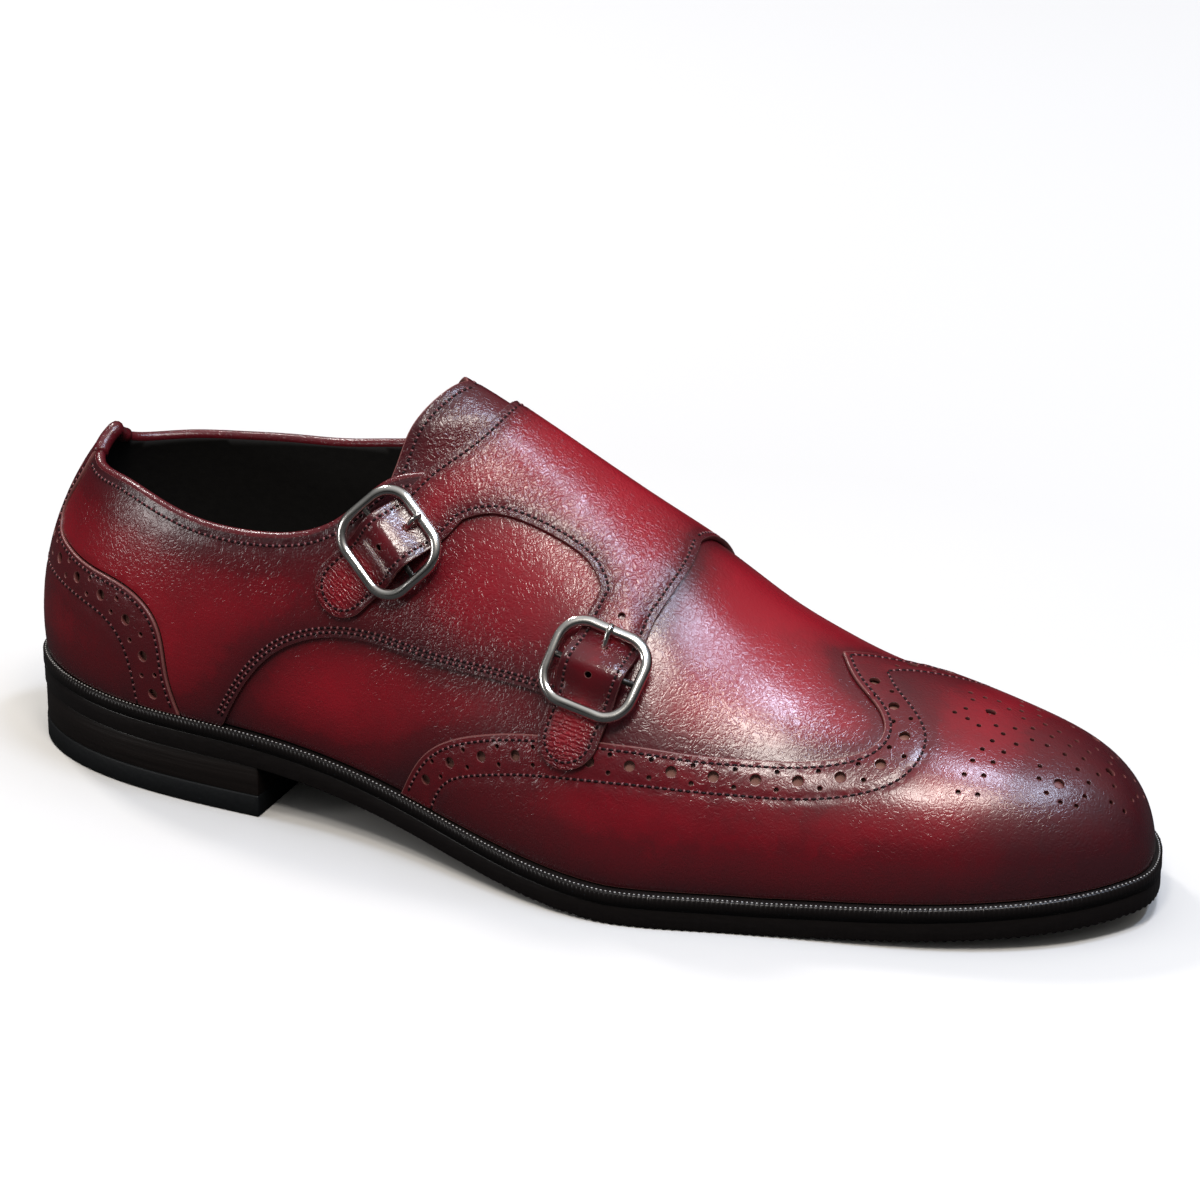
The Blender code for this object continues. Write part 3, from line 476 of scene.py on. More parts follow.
class Hide:
    """A leather of one thickness that lies on the last at a level above it."""

    def __init__(self, level, wall):
        self.level, self.wall = level, wall

    def height(self, station, share):
        if callable(self.level):
            return self.level(station, share)
        return np.full_like(np.asarray(share, float), self.level)

    def top(self, station, share, lift=0.0):
        return skin(station, share, self.height(station, share) + self.wall + lift)

    def slopes(self, station, share):
        """How the top's point moves with the station and with the share."""
        reach = 1e-3
        by_station = self.top(station + reach, share) - self.top(station - reach, share)
        by_share = self.top(station, share + reach) - self.top(station, share - reach)
        return np.stack([by_station, by_share], -1) / (2 * reach)

    def shifted(self, places, shift):
        """Places moved by a small distance given in space."""
        return places + np.einsum("nij,nj->ni", np.linalg.pinv(self.slopes(*places.T)), shift)

    def frames(self, places):
        """Point, run, side and up at each place of a row."""
        station, share = places.T
        point = self.top(station, share)
        up = last_normal(station, share)
        run = np.gradient(point, axis=0)
        run -= up * (run * up).sum(-1, keepdims=True)
        run /= np.linalg.norm(run, axis=-1, keepdims=True)
        return point, run, np.cross(up, run), up

    def beside(self, places, amount, steps=1):
        """A row moved to its left by a length measured on the leather."""
        for _ in range(steps):
            _, _, side, _ = self.frames(places)
            places = self.shifted(places, side * amount / steps)
        return places

    def spaced(self, places, pitch):
        """Places along a row, an even pitch apart."""
        run = run_along(self.top(*places.T))
        count = max(1, round(run[-1] / pitch))
        return picked(places, run, (np.arange(count) + .5) * run[-1] / count)


def places_of(points):
    """Flat points back to places."""
    return np.array(points) / (1, STRETCH)


# A round hole in a hide; its ring and the collar round it lie on the flat pattern
Punch = namedtuple("Punch", "middle radius ring collar")


def punched(hide, places, radius):
    """Holes of one size at places in a hide."""
    places = np.asarray(places, float)
    turn = np.linspace(0, 2 * math.pi, 15 if radius > SMALL_PUNCH else 10)[:-1, None]
    up = last_normal(*places.T)[:, None]
    across = np.cross(up, (1.0, 0.0, 0.0))
    across /= np.linalg.norm(across, axis=-1, keepdims=True)
    rings = np.cos(turn) * np.cross(across, up) + np.sin(turn) * across
    rows = []
    for reach in (radius, radius + PUNCH_COLLAR):
        moved = hide.shifted(np.repeat(places, len(turn), axis=0), rings.reshape(-1, 3) * reach)
        rows.append(moved.reshape(len(places), -1, 2))
    return [Punch(middle, radius, flat(ring), flat(collar))
            for middle, ring, collar in zip(hide.top(*places.T), *rows)]


def drawn(rings, rows=()):
    """The points of closed rings and open rows, and the edges between them."""
    coords, edges = [], []
    for points, closed in [*((ring, 1) for ring in rings), *((row, 0) for row in rows)]:
        first, count = len(coords), len(points)
        coords += points
        edges += [(first + i, first + (i + 1) % count) for i in range(count - 1 + closed)]
    return coords, edges


def filled(coords, edges, accuracy):
    """Triangles over drawn points: their corners, their faces and the faces' middles."""
    hull_triangles = 0
    verts, _, faces, *_ = delaunay_2d_cdt([Vector(p) for p in coords], edges, [], hull_triangles, accuracy)
    corners = np.array([verts[i] for face in faces for i in face]).reshape(-1, 3, 2)
    return [tuple(v) for v in verts], faces, corners.mean(axis=1)


def thickened(bm, sheets):
    """Build flat sheets one unit thick; gives the upper corners."""
    for points, faces in sheets:
        corners = [bm.verts.new((*point, 0)) for point in points]
        for face in faces:
            bm.faces.new([corners[i] for i in face])
    bmesh.ops.delete(bm, geom=[v for v in bm.verts if not v.link_faces], context="VERTS")
    made = bmesh.ops.extrude_face_region(bm, geom=bm.faces[:])["geom"]
    upper = [item for item in made if isinstance(item, bmesh.types.BMVert)]
    bmesh.ops.translate(bm, verts=upper, vec=(0, 0, 1))
    return upper


def cut(hide, loop, seams=(), punches=(), extra=()):
    """A flat sheet of triangles with seam lines drawn on it and holes punched in it."""
    coords, edges = drawn([loop, *(ring for p in punches for ring in (p.ring, p.collar))], seams)
    grid = PATTERN_GRID
    if len(extra):
        grid = np.concatenate([grid[Nearest(extra)(grid) > .03], extra])
    grid = grid[inside(grid, loop)]
    grid = grid[Nearest(coords)(grid) > (.018 if len(extra) else .028)]
    if punches:
        middles = Nearest([p.middle for p in punches])
        grid = grid[middles(hide.top(*places_of(grid).T)) > BIG_PUNCH * 1.2]
    coords += [tuple(point) for point in grid]
    corners, faces, middles = filled(coords, edges, 1e-6)
    wanted = inside(middles, loop)
    points = hide.top(*places_of(middles).T)
    for punch in punches:
        wanted &= np.linalg.norm(points - punch.middle, axis=1) > punch.radius * .97
    return corners, [face for face, keep in zip(faces, wanted) if keep]


def on_seam(face):
    """Walls of a pattern where its two sides are sewn: on the crown and the heel back."""
    crown = all(abs(v.co.y - STRETCH) < 1e-4 for v in face.verts)
    back = all(abs(abs(v.co.x) - BACK) < 1e-4 for v in face.verts)
    return crown or back


def round_edges(bm, offset, only=None, finish_index=-1):
    """Round the sharp edges of a mesh, or those that pass a test."""
    sharp = [edge for edge in bm.edges
             if edge.is_manifold and edge.calc_face_angle() > math.radians(50)
             and (only is None or only(edge))]
    bmesh.ops.bevel(bm, geom=sharp, offset=offset, segments=2, profile=.5, affect="EDGES",
                    material=finish_index, clamp_overlap=True)


def wrap(name, hide, sheets, seams=(), shade=None, underlays=(), punches=()):
    """Wrap flat sheets on the last as one closed leather with rounded edges."""
    bm = bmesh.new()
    is_top = bm.verts.layers.int.new("is_top")
    at = [bm.verts.layers.float.new(label) for label in ("at_station", "at_share")]
    for v in thickened(bm, sheets):
        v[is_top] = 1
    bmesh.ops.delete(bm, geom=[face for face in bm.faces if on_seam(face)], context="FACES")
    station, height, layer = np.array([v.co for v in bm.verts]).T
    share = np.clip(height / STRETCH, 0, 1)
    level = hide.height(station, share) + hide.wall * layer
    if len(seams):
        rows = np.concatenate([hide.top(*places_of(seam).T) for seam in seams])
        away = Nearest(rows)(skin(station, share, hide.height(station, share) + hide.wall))
        level -= layer * GROOVE * np.exp(-(away / GROOVE_WIDTH)**2)
    for v, point, s, t in zip(bm.verts, skin(station, share, level), station, share):
        v.co = point
        v[at[0]], v[at[1]] = s, t
    bmesh.ops.remove_doubles(bm, verts=bm.verts, dist=SEW)
    bmesh.ops.recalc_face_normals(bm, faces=bm.faces)
    mark_faces(bm, is_top, at, underlays)
    at_hole = bm.verts.layers.int.new("at_hole")
    if punches:
        away = Nearest([p.middle for p in punches])([v.co for v in bm.verts])
        for v, distance in zip(bm.verts, away):
            v[at_hole] = int(distance < BIG_PUNCH * 1.15)
    # The rounded rims along edges and round holes take finish 1; on most pieces that is the cut-edge
    # finish, whose lighter pink paints a highlight along them.
    round_edges(bm, EDGE_ROUND, lambda edge: all(v[is_top] and not v[at_hole] for v in edge.verts), 1)
    round_edges(bm, PUNCH_ROUND, lambda edge: all(v[is_top] and v[at_hole] for v in edge.verts), 1)
    piece = finish(bm, name)
    if shade:
        paint(piece, shade)
    return piece


def mark_faces(bm, is_top, at, underlays):
    """Finish 0 for the grain side, 1 for cut edges and flesh side, 2 and on under punched leather."""
    for face in bm.faces:
        face.material_index = int(not all(v[is_top] for v in face.verts))
    places = np.array([[abs(face.verts[0][at[0]]), face.verts[0][at[1]] * STRETCH] for face in bm.faces])
    for index, loop in enumerate(underlays, 2):
        for face, covered in zip(bm.faces, inside(places, loop)):
            if covered and face.material_index == 0:
                face.material_index = index


def finish(bm, name):
    mesh = bpy.data.meshes.new(name)
    bm.to_mesh(mesh)
    bm.free()
    mesh.shade_smooth()
    piece = bpy.data.objects.new(name, mesh)
    bpy.context.scene.collection.objects.link(piece)
    return piece


def dress(piece, node, slot, *materials):
    """Give a piece its finish and its place on the shoe's body."""
    for material in materials:
        piece.data.materials.append(material)
    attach(piece, "root")
    if node:
        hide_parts(node)
    return piece


def read_attribute(mesh, name):
    values = np.zeros(len(mesh.vertices), np.float32)
    mesh.attributes[name].data.foreach_get("value", values)
    return values.astype(float)


def paint(piece, shade):
    """Store at each corner what the shade says, such as how dark the burnish and the painted shade are."""
    mesh = piece.data
    points = np.zeros(len(mesh.vertices) * 3, np.float32)
    mesh.vertices.foreach_get("co", points)
    points = points.reshape(-1, 3).astype(float)
    values = shade(read_attribute(mesh, "at_station"), read_attribute(mesh, "at_share"), points)
    for name, value in zip(("burnish", "wrinkle", "polish", "strap_run", "fold"), values):
        layer = mesh.attributes.new(name, "FLOAT", "POINT")
        layer.data.foreach_set("value", np.clip(value, 0, 1).astype(np.float32))
    for name in ("at_station", "at_share", "is_top", "at_hole"):
        mesh.attributes.remove(mesh.attributes[name])


# Buckle seats: flat places run along the strap toward its root, across it, and up

class Seat:
    """The place on the last where a buckle's bar crosses its strap."""

    def __init__(self, station, share, tip_station, tip_share):
        self.place = np.array([station, share])
        self.middle = skin(station, share, STRAP_LEVEL)
        self.up = last_normal(station, share)
        along = self.middle - skin(tip_station, tip_share, STRAP_LEVEL)
        along -= self.up * (along @ self.up)
        self.along = along / np.linalg.norm(along)
        self.across = np.cross(self.up, self.along)

    def spread(self, point):
        offset = point - self.middle
        return np.stack([offset @ self.along, offset @ self.across], -1)

    def find(self, along, across, level=STRAP_LEVEL):
        """Station and share below a flat place, by Newton steps."""
        wanted = np.stack([along, across], -1)
        places = np.tile(self.place, (len(wanted), 1))
        level = np.broadcast_to(level, len(wanted))
        small = 1e-4
        for _ in range(8):
            here = self.spread(skin(places[:, 0], places[:, 1], level))
            by_station = self.spread(skin(places[:, 0] + small, places[:, 1], level)) - here
            by_share = self.spread(skin(places[:, 0], places[:, 1] + small, level)) - here
            slopes = np.stack([by_station, by_share], -1) / small
            places = places + np.linalg.solve(slopes, (wanted - here)[..., None])[..., 0]
        return places

    def pattern(self, flat_places):
        return flat(self.find(*np.array(flat_places).T))

    def lift(self, station, share):
        """Rise of the strap over the bar and the keeper."""
        spread = self.spread(skin(station, share, np.full_like(share, STRAP_LEVEL)))
        along, across = np.abs(spread[..., 0]), np.abs(spread[..., 1])
        near = (along < LIFT_REACH) & (across < STRAP_WIDTH * .6)
        near &= np.abs(share - self.place[1]) < .3
        return np.where(near, STRAP_LIFT * np.cos(along / LIFT_REACH * math.pi / 2)**2, 0)


SEATS = {name: Seat(*row) for name, row in BUCKLES.items()}


def strap_outline(seat):
    """Round the tip of a strap, from its root on the toe side to its root behind."""
    half = STRAP_WIDTH / 2
    root = BUCKLE_LENGTH / 2 + GAP
    side = np.linspace(root, half - STRAP_TAIL, 30)
    turn = np.linspace(0, math.pi, 19)[1:-1]
    tip = [(half - STRAP_TAIL - half * math.sin(a), -half * math.cos(a)) for a in turn]
    return seat.pattern([(s, -half) for s in side] + tip + [(s, half) for s in reversed(side)])


# What lies under the flap: the lateral quarter with the wing, and inside the topline the vamp
UNDER_FLAP = [(5.70, .15), (5.70, .36), (6.00, .385), (6.18, .42), (6.16, .50), (6.20, .62),
              (6.42, .74), (6.95, .81), (7.75, .845), (8.2, .71), (8.63, .585), (9.4, .44),
              (9.4, .15)]
INSIDE_TOPLINE = [(-.5, -.5), (THROAT, 1.5), (THROAT, 1.0), (7.7, .81), (8.2, .67), (8.63, .60),
                  (9.25, .46), (12.5, .60), (12.5, -.5)]
UNDER_BAND = WING_EDGE + WING_SEAM[::-1]
PLACE_MM = np.array([27.0, 90.0])


def depth_inside(station, share, loop):
    """About how many millimetres a place lies inside a loop of places; outside is below 0."""
    places = np.stack([np.ravel(station), np.ravel(share)], -1)
    starts = np.array(loop) * PLACE_MM
    sides = np.roll(starts, -1, axis=0) - starts
    offset = (places * PLACE_MM)[:, None] - starts
    along = np.clip((offset * sides).sum(-1) / (sides**2).sum(-1), 0, 1)
    away = np.linalg.norm(offset - along[..., None] * sides, axis=-1).min(axis=1)
    return np.where(inside(places, loop), away, -away).reshape(np.shape(share))


def tongue_level(station, share):
    """Under the vamp, and outside the throat up against the flap."""
    out = ramp(-depth_inside(np.abs(station), share, INSIDE_TOPLINE), 1.0, 11.0)
    return -1.5 * GAP - TONGUE_WALL + out * (1.5 * GAP + UPPER_WALL)


def vamp_level(station, share):
    """A little lower under the punched band, so that its holes have depth."""
    return -BAND_SINK * ramp(depth_inside(np.abs(station), share, UNDER_BAND), 1.2, 2.6)


def strap_quarter_level(station, share):
    """On the vamp, or on the lateral quarter where that lies under it."""
    lateral = station > 0
    on_quarter = ramp(depth_inside(station, share, UNDER_FLAP), -5.0 - 16.0 * ramp(share, .66, .84), .5)
    level = OVERLAY_LEVEL + (STRAP_LEVEL - OVERLAY_LEVEL) * on_quarter * lateral
    for seat in SEATS.values():
        level = level + np.where(lateral, seat.lift(station, share), 0)
    return level


VAMP = Hide(vamp_level, UPPER_WALL)
TONGUE = Hide(tongue_level, TONGUE_WALL)
OVERLAY = Hide(OVERLAY_LEVEL, OVERLAY_WALL)
COUNTER = Hide(OVERLAY_LEVEL, COUNTER_WALL)
STRAP = Hide(strap_quarter_level, STRAP_WALL)


# Seam rows: each is a run of flat points on a hide

def row_beside(hide, run, amount, steps=1):
    return flat(hide.beside(places_of(run), amount, steps))


def cut_at_topline(edge, curve):
    """The part of an edge below the topline, ending on it."""
    kept = [point for point in edge if point[1] < float(curve(point[0])) * STRETCH - .03]
    station = edge[-1][0]
    return [*kept, (station, float(curve(station)) * STRETCH)]


def quarter_back(curve):
    """Rear edge of a quarter: the counter's edge and a gap, from the topline down."""
    edge = cut_at_topline(smooth(COUNTER_EDGE), curve)
    return row_beside(OVERLAY, edge, -2.2 * GAP)[::-1]


def both_sides(run):
    return [run, mirrored(run)]


def topline_row(curve, start, end):
    """A row that follows the topline a little below it."""
    return row_beside(OVERLAY, along_topline(curve, start, end), TOPLINE_INSET)


# How dark the hand burnish and the painted shade are, from 0 for clear red to 1 for plum

def fade(distance, reach):
    return np.exp(-(distance / reach)**1.3)


def near(hide, *runs):
    return Nearest(np.concatenate([hide.top(*places_of(run).T) for run in runs]))


def darkest(*values):
    result = values[0]
    for value in values[1:]:
        result = 1 - (1 - result) * (1 - value)
    return result


def foot_dark(points):
    return .75 * fade(np.maximum(points[:, 2] - welt_top(points[:, 0]), 0), .007)


# Pieces of the upper

def add_vamp():
    loop = outline(
        along_foot(-BACK, BACK), along_back(1, 0, LATERAL_TOPLINE(BACK)),
        along_topline(LATERAL_TOPLINE, BACK, THROAT), along_ridge(THROAT, -THROAT),
        mirrored(along_topline(MEDIAL_TOPLINE, THROAT, BACK)),
        along_back(-1, MEDIAL_TOPLINE(BACK), 0))
    wing = near(VAMP, *both_sides(smooth(WING_EDGE)))
    quarter = near(VAMP, *both_sides(smooth(QUARTER_EDGE)))
    flap = near(VAMP, smooth(FLAP_FRONT), mirrored(smooth(MEDIAL_FRONT)))

    def shade(station, share, points):
        # Burnish along the wing, quarter and flap edges and near the welt; along the flap's front edge it
        # is also a painted shadow that the flap casts on the vamp. Darker low on the sides as painted
        # shade, and painted shade under the second buckle.
        dark = darkest(.62 * fade(wing(points), .009), .60 * fade(quarter(points), .008),
                       .62 * fade(flap(points), .008), foot_dark(points))
        under = np.linalg.norm(points - SEATS["2"].middle, axis=1)
        low = .35 * (1 - ramp(points[:, 2], .018, .040))
        return darkest(dark, low, .95 * fade(under, .010)), .2 + 0 * share

    seam, rim = row_beside(VAMP, smooth(WING_SEAM), .0012), row_beside(VAMP, smooth(WING_EDGE), -.0025)
    counter = row_beside(VAMP, smooth(COUNTER_EDGE), .0025)
    underlays = [outline(rim, seam[::-1]),
                 outline(counter, [(BACK + .1, counter[-1][1]), (BACK + .1, 0)]),
                 outline(seam, [(-.1, STRETCH), (-.1, 0)])]
    piece = wrap("vamp_and_quarter_lining", VAMP, [cut(VAMP, loop)], shade=shade, underlays=underlays)
    return dress(piece, "upper", "burgundy_leather", CLEAR_CALF, LINING, UNDERLAY, UNDERLAY, CUT_EDGE_AND_RIM_HIGHLIGHT)


def add_tongue():
    edge = smooth(TONGUE_EDGE)
    low, high = TONGUE_EDGE[0][0], TONGUE_EDGE[-1][0]
    rows = both_sides(row_beside(TONGUE, edge[round(len(edge) * .36):], -.0026))
    halves = [outline(edge, along_ridge(high, low)), outline(mirrored(edge), along_ridge(-high, -low))]
    sheets = [cut(TONGUE, half, [row]) for half, row in zip(halves, rows)]
    rim = near(TONGUE, *rows)

    def shade(station, share, points):
        return .62 + .25 * fade(rim(points), .004), .7 + 0 * share

    piece = wrap("tongue_leather", TONGUE, sheets, rows, shade)
    STITCH_ROWS.extend((TONGUE, row, FLAP_STITCH) for row in rows)
    return dress(piece, "tongue", "burgundy_leather", CLEAR_CALF, CUT_EDGE_AND_RIM_HIGHLIGHT)


def punch_row(hide, run):
    """Big holes along a row, with a pair of small ones between each two."""
    places = hide.spaced(places_of(run), PUNCH_PITCH / 2)
    punches = punched(hide, places[::2], BIG_PUNCH)
    for amount in (.0022, -.0022):
        punches += punched(hide, hide.beside(places, amount)[1::2], SMALL_PUNCH)
    return punches


def medallion_punches(marks, radius):
    """Holes of one size of the toe's ornament, on both sides of its axis."""
    (x1, y1), (x2, y2) = MEDALLION_AXIS
    spots = [(x, y1 + (x - x1) / (x2 - x1) * (y2 - y1) - side * away)
             for x, away in marks for side in ((1, -1) if away else (1,))]
    stations, shares = np.meshgrid(np.linspace(-4.2, 4.2, 421), np.linspace(.1, .985, 180))
    points = last_point(stations, shares)[..., :2]
    places = []
    for spot in np.array(spots) / 1000:
        nearest = np.argmin(((points - spot)**2).sum(-1))
        places.append((stations.flat[nearest], shares.flat[nearest]))
    return punched(OVERLAY, places, radius)


def add_wing_cap():
    edge = smooth(WING_EDGE)
    foot, peak = WING_EDGE[0][0], WING_EDGE[-1][0]
    loop = outline(edge, along_ridge(peak, -peak), mirrored(edge)[::-1], along_foot(-foot, foot))
    outer = row_beside(OVERLAY, edge, -ROW_INSET)[2:-1]
    inner = smooth(WING_SEAM)
    seams = both_sides(outer) + both_sides(inner)
    middle = [((a1 + a2) / 2, (h1 + h2) / 2) for (a1, h1), (a2, h2) in
              zip(even(edge, 200), even(inner, 200))]
    punches = punch_row(OVERLAY, middle[6:-8])
    punches += punch_row(OVERLAY, mirrored(middle[6:-8]))
    punches += medallion_punches(MEDALLION_BIG, BIG_PUNCH)
    punches += medallion_punches(MEDALLION_SMALL, SMALL_PUNCH)
    band = edge + inner[::-1]
    seam_line = near(OVERLAY, *both_sides(inner))

    def shade(station, share, points):
        in_band = inside(np.stack([np.abs(station), np.minimum(share, .998) * STRETCH], -1), band)
        toe = .78 * ramp(points[:, 0], .098, .140)
        peak = .6 * fade(np.linalg.norm(points - last_point(3.7, .97), axis=1), .020)
        # Darker low on the sides, as painted shade where they face away from the lamps.
        low = .45 * (1 - ramp(points[:, 2], .018, .040))
        dark = darkest(.45 * fade(seam_line(points), .006), toe, peak, low, foot_dark(points))
        return np.where(in_band, .48, dark), .15 + 0 * share

    piece = wrap("wing_cap_leather", OVERLAY, [cut(OVERLAY, loop, seams, punches)], seams, shade,
                 punches=punches)
    STITCH_ROWS.extend((OVERLAY, row, WING_STITCH) for row in seams)
    return dress(piece, "wing_cap", "plum_leather", CLEAR_CALF, CUT_EDGE_AND_RIM_HIGHLIGHT)


def add_heel_counter():
    edge, inner = smooth(COUNTER_EDGE), smooth(COUNTER_SEAM)
    sheets, seams, bands, holes_cut = [], [], [], []
    for side, curve in ((1, LATERAL_TOPLINE), (-1, MEDIAL_TOPLINE)):
        rim = cut_at_topline(edge, curve)
        top = along_topline(curve, rim[-1][0], BACK)
        half = outline(rim, top, along_back(1, float(curve(BACK)), 0), along_foot(BACK, rim[0][0]))
        rows = [row_beside(COUNTER, rim, .0015)[2:-3], inner[:-2]]
        holes = smooth(COUNTER_PUNCHES)
        if side < 0:
            half, rows, holes = mirrored(half), [mirrored(row) for row in rows], mirrored(holes)
        punches = punch_row(COUNTER, holes[2:-2])
        sheets.append(cut(COUNTER, half, rows, punches))
        holes_cut += punches
        seams += rows
        bands.append(outline(rim, [(BACK, rim[-1][1])], inner[::-1]))
    seam_line = near(COUNTER, *both_sides(inner))

    def shade(station, share, points):
        flat_points = np.stack([np.minimum(np.abs(station), BACK - .01), share * STRETCH], -1)
        in_band = inside(flat_points, bands[0]) | inside(flat_points, bands[1])
        dark = darkest(.36 + .3 * fade(seam_line(points), .007), foot_dark(points))
        return np.where(in_band, .66, dark), .1 + 0 * share

    piece = wrap("heel_counter_leather", COUNTER, sheets, seams, shade, punches=holes_cut)
    STITCH_ROWS.extend((COUNTER, row, WING_STITCH) for row in seams)
    return dress(piece, "heel_counter", "plum_leather", CLEAR_CALF, CUT_EDGE_AND_RIM_HIGHLIGHT)


def quarter_seams():
    """The two rows of stitches along a quarter's lower edge."""
    edge = smooth(QUARTER_EDGE)
    return [row_beside(OVERLAY, edge, amount, 2)[2:-3] for amount in (.0012, .0024)]


def quarter_shade(edge_line, top_line, patches):
    def shade(station, share, points):
        dark = darkest(.88 * fade(edge_line(points), .009), .92 * fade(top_line(points), .011),
                       foot_dark(points), .08 + 0 * share)
        # Each patch darkens round a place, as painted shade.
        for (at, height), reach, amount in patches:
            middle = last_point(np.array(at), np.array(height))
            away = np.linalg.norm(points - middle, axis=1)
            dark = darkest(dark, amount * fade(away, reach))
        wrinkle = .20 + .75 * fade(np.linalg.norm(points - last_point(8.15, .36), axis=1), .018)
        return dark, wrinkle
    return shade


def add_lateral_quarter():
    back = quarter_back(LATERAL_TOPLINE)
    start, _ = back[0]
    front = smooth(QUARTER_FRONT)
    top = along_topline(LATERAL_TOPLINE, QUARTER_FRONT[-1][0], start)
    back = [(start, top[-1][1]), *back[1:]]
    lower = smooth(QUARTER_EDGE)
    loop = outline(lower, front, top, back, along_foot(back[-1][0], QUARTER_EDGE[0][0]))
    seams = quarter_seams() + [topline_row(LATERAL_TOPLINE, 8.0, start - .05)]
    # Painted shade round the two buckles, and a weaker patch below the first.
    shaded = [(BUCKLES["1"][:2], .012, .9), (BUCKLES["2"][:2], .013, .95), ((8.3, .38), .015, .25)]
    shade = quarter_shade(near(OVERLAY, lower), near(OVERLAY, top), shaded)
    piece = wrap("lateral_quarter_leather", OVERLAY, [cut(OVERLAY, loop, seams)], seams, shade)
    STITCH_ROWS.extend((OVERLAY, row, QUARTER_STITCH) for row in seams)
    return dress(piece, "lateral_quarter", "burgundy_leather", CLEAR_CALF, CUT_EDGE_AND_RIM_HIGHLIGHT)


def add_strap_quarter():
    first, second = SEATS["1"], SEATS["2"]
    rim = outline(smooth(FLAP_FRONT), strap_outline(second), smooth(FLAP_NOTCH),
                  strap_outline(first), smooth(FLAP_TOP))
    lateral = outline(rim, along_ridge(FLAP_TOP[-1][0], FLAP_FRONT[0][0]))
    back = quarter_back(MEDIAL_TOPLINE)
    start, _ = back[0]
    top = along_topline(MEDIAL_TOPLINE, MEDIAL_TOP[-1][0], start)
    back = [(start, top[-1][1]), *back[1:]]
    front, upper_edge = smooth(MEDIAL_FRONT), smooth(MEDIAL_TOP)
    medial = mirrored(outline(
        smooth(QUARTER_EDGE), front, along_ridge(MEDIAL_FRONT[-1][0], MEDIAL_TOP[0][0]),
        upper_edge, top, back, along_foot(back[-1][0], QUARTER_EDGE[0][0])))
    rim_row = row_beside(STRAP, rim, -.0018)[1:-1]
    medial_rows = [mirrored(row) for row in quarter_seams()]
    medial_rows += [mirrored(row_beside(OVERLAY, front, ROW_INSET)[2:-1]),
                    mirrored(row_beside(OVERLAY, upper_edge, ROW_INSET)[1:-2]),
                    mirrored(topline_row(MEDIAL_TOPLINE, 8.75, start - .05))]
    holes = [*first.find(*np.array([(-.002, 0), (PRONG_HOLE, 0)]).T),
             *second.find(*np.array([(-.002, 0), (PRONG_HOLE, 0), (.0145, 0)]).T)]
    holes = punched(STRAP, holes, STRAP_HOLE)
    close_grid = np.array([(along, across) for along in np.arange(-.0165, .0125, .0007)
                           for across in np.arange(-.0070, .0071, .0007)])
    extra = np.array([point for seat in SEATS.values() for point in seat.pattern(close_grid)])
    sheets = [cut(STRAP, lateral, [rim_row], holes, extra), cut(STRAP, medial, medial_rows)]
    seams = [rim_row, *medial_rows]
    edges = near(STRAP, rim, mirrored(front), mirrored(upper_edge))
    lower_line, top_line = near(STRAP, mirrored(smooth(QUARTER_EDGE))), near(STRAP, mirrored(top))
    medial_shade = quarter_shade(lower_line, top_line, [])

    def shade(station, share, points):
        flap = darkest(.75 * fade(edges(points), .0055), .10 + 0 * share)
        dark, wrinkle = medial_shade(station, share, points)
        on_medial = ramp(-station * (1 - share), .3, 1.5)
        reach = [seat.spread(points) for seat in SEATS.values()]
        close = [np.linalg.norm(points - seat.middle, axis=1) < .03 for seat in SEATS.values()]
        run = sum(np.where(ok, along[:, 0], 0) for ok, along in zip(close, reach))
        tip = sum(ok * ramp(-along[:, 0], .007, .011) * (1 - ramp(np.abs(along[:, 1]), .0045, .0062))
                  for ok, along in zip(close, reach))
        bulge = sum(ok * (1 - ramp(np.abs(along[:, 0]), .007, .010)) for ok, along in zip(close, reach))
        flap = flap * (1 - .35 * tip)
        flap = darkest(flap, .30 * bulge)
        wrinkle = .55 * (1 - bulge) * (1 - on_medial) + .15
        return flap + (dark - flap) * on_medial, wrinkle, bulge, .5 + run / STRAP_REACH, tip

    piece = wrap("strap_quarter_leather", STRAP, sheets, seams, shade, punches=holes)
    STITCH_ROWS.append((STRAP, rim_row, FLAP_STITCH))
    STITCH_ROWS.extend((STRAP, row, QUARTER_STITCH) for row in medial_rows)
    return dress(piece, "strap_quarter", "burgundy_leather", CLEAR_CALF, CUT_EDGE_AND_RIM_HIGHLIGHT)


def add_dashes(name, material, share, width, height, sink, between):
    """Small oval bumps along every row: the stitches, or the leather between two of them."""
    rows = bmesh.new()
    for hide, row, pitch in STITCH_ROWS:
        places = hide.spaced(places_of(row), pitch)
        if between:
            places = (places[1:] + places[:-1]) / 2
        dashes = bmesh.new()
        for point, *axes in zip(*hide.frames(places)):
            matrix = Matrix([axis * size for axis, size in zip(axes, (pitch * share, width, height))])
            matrix = matrix.transposed().to_4x4()
            matrix.translation = Vector(point - axes[2] * sink)
            bmesh.ops.create_uvsphere(dashes, u_segments=6, v_segments=4, radius=.5, matrix=matrix)
        row_mesh = bpy.data.meshes.new(name)
        dashes.to_mesh(row_mesh)
        dashes.free()
        rows.from_mesh(row_mesh)
    return dress(finish(rows, name), None, "burgundy_leather", material)


def add_stitching():
    """Every stitch sinks into a slot, its dark thread painted near black as the slot's shade; the leather
    between two slots bulges up, painted pinker as a highlight.
    """
    add_dashes("stitching", THREAD_AND_SLOT_SHADE, .74, THREAD, THREAD * .6, GROOVE * .75, False)
    add_dashes("leather_between_stitches", BETWEEN_CALF_AND_HIGHLIGHT, .40, THREAD * 1.25, THREAD * .8,
               GROOVE * .85, True)


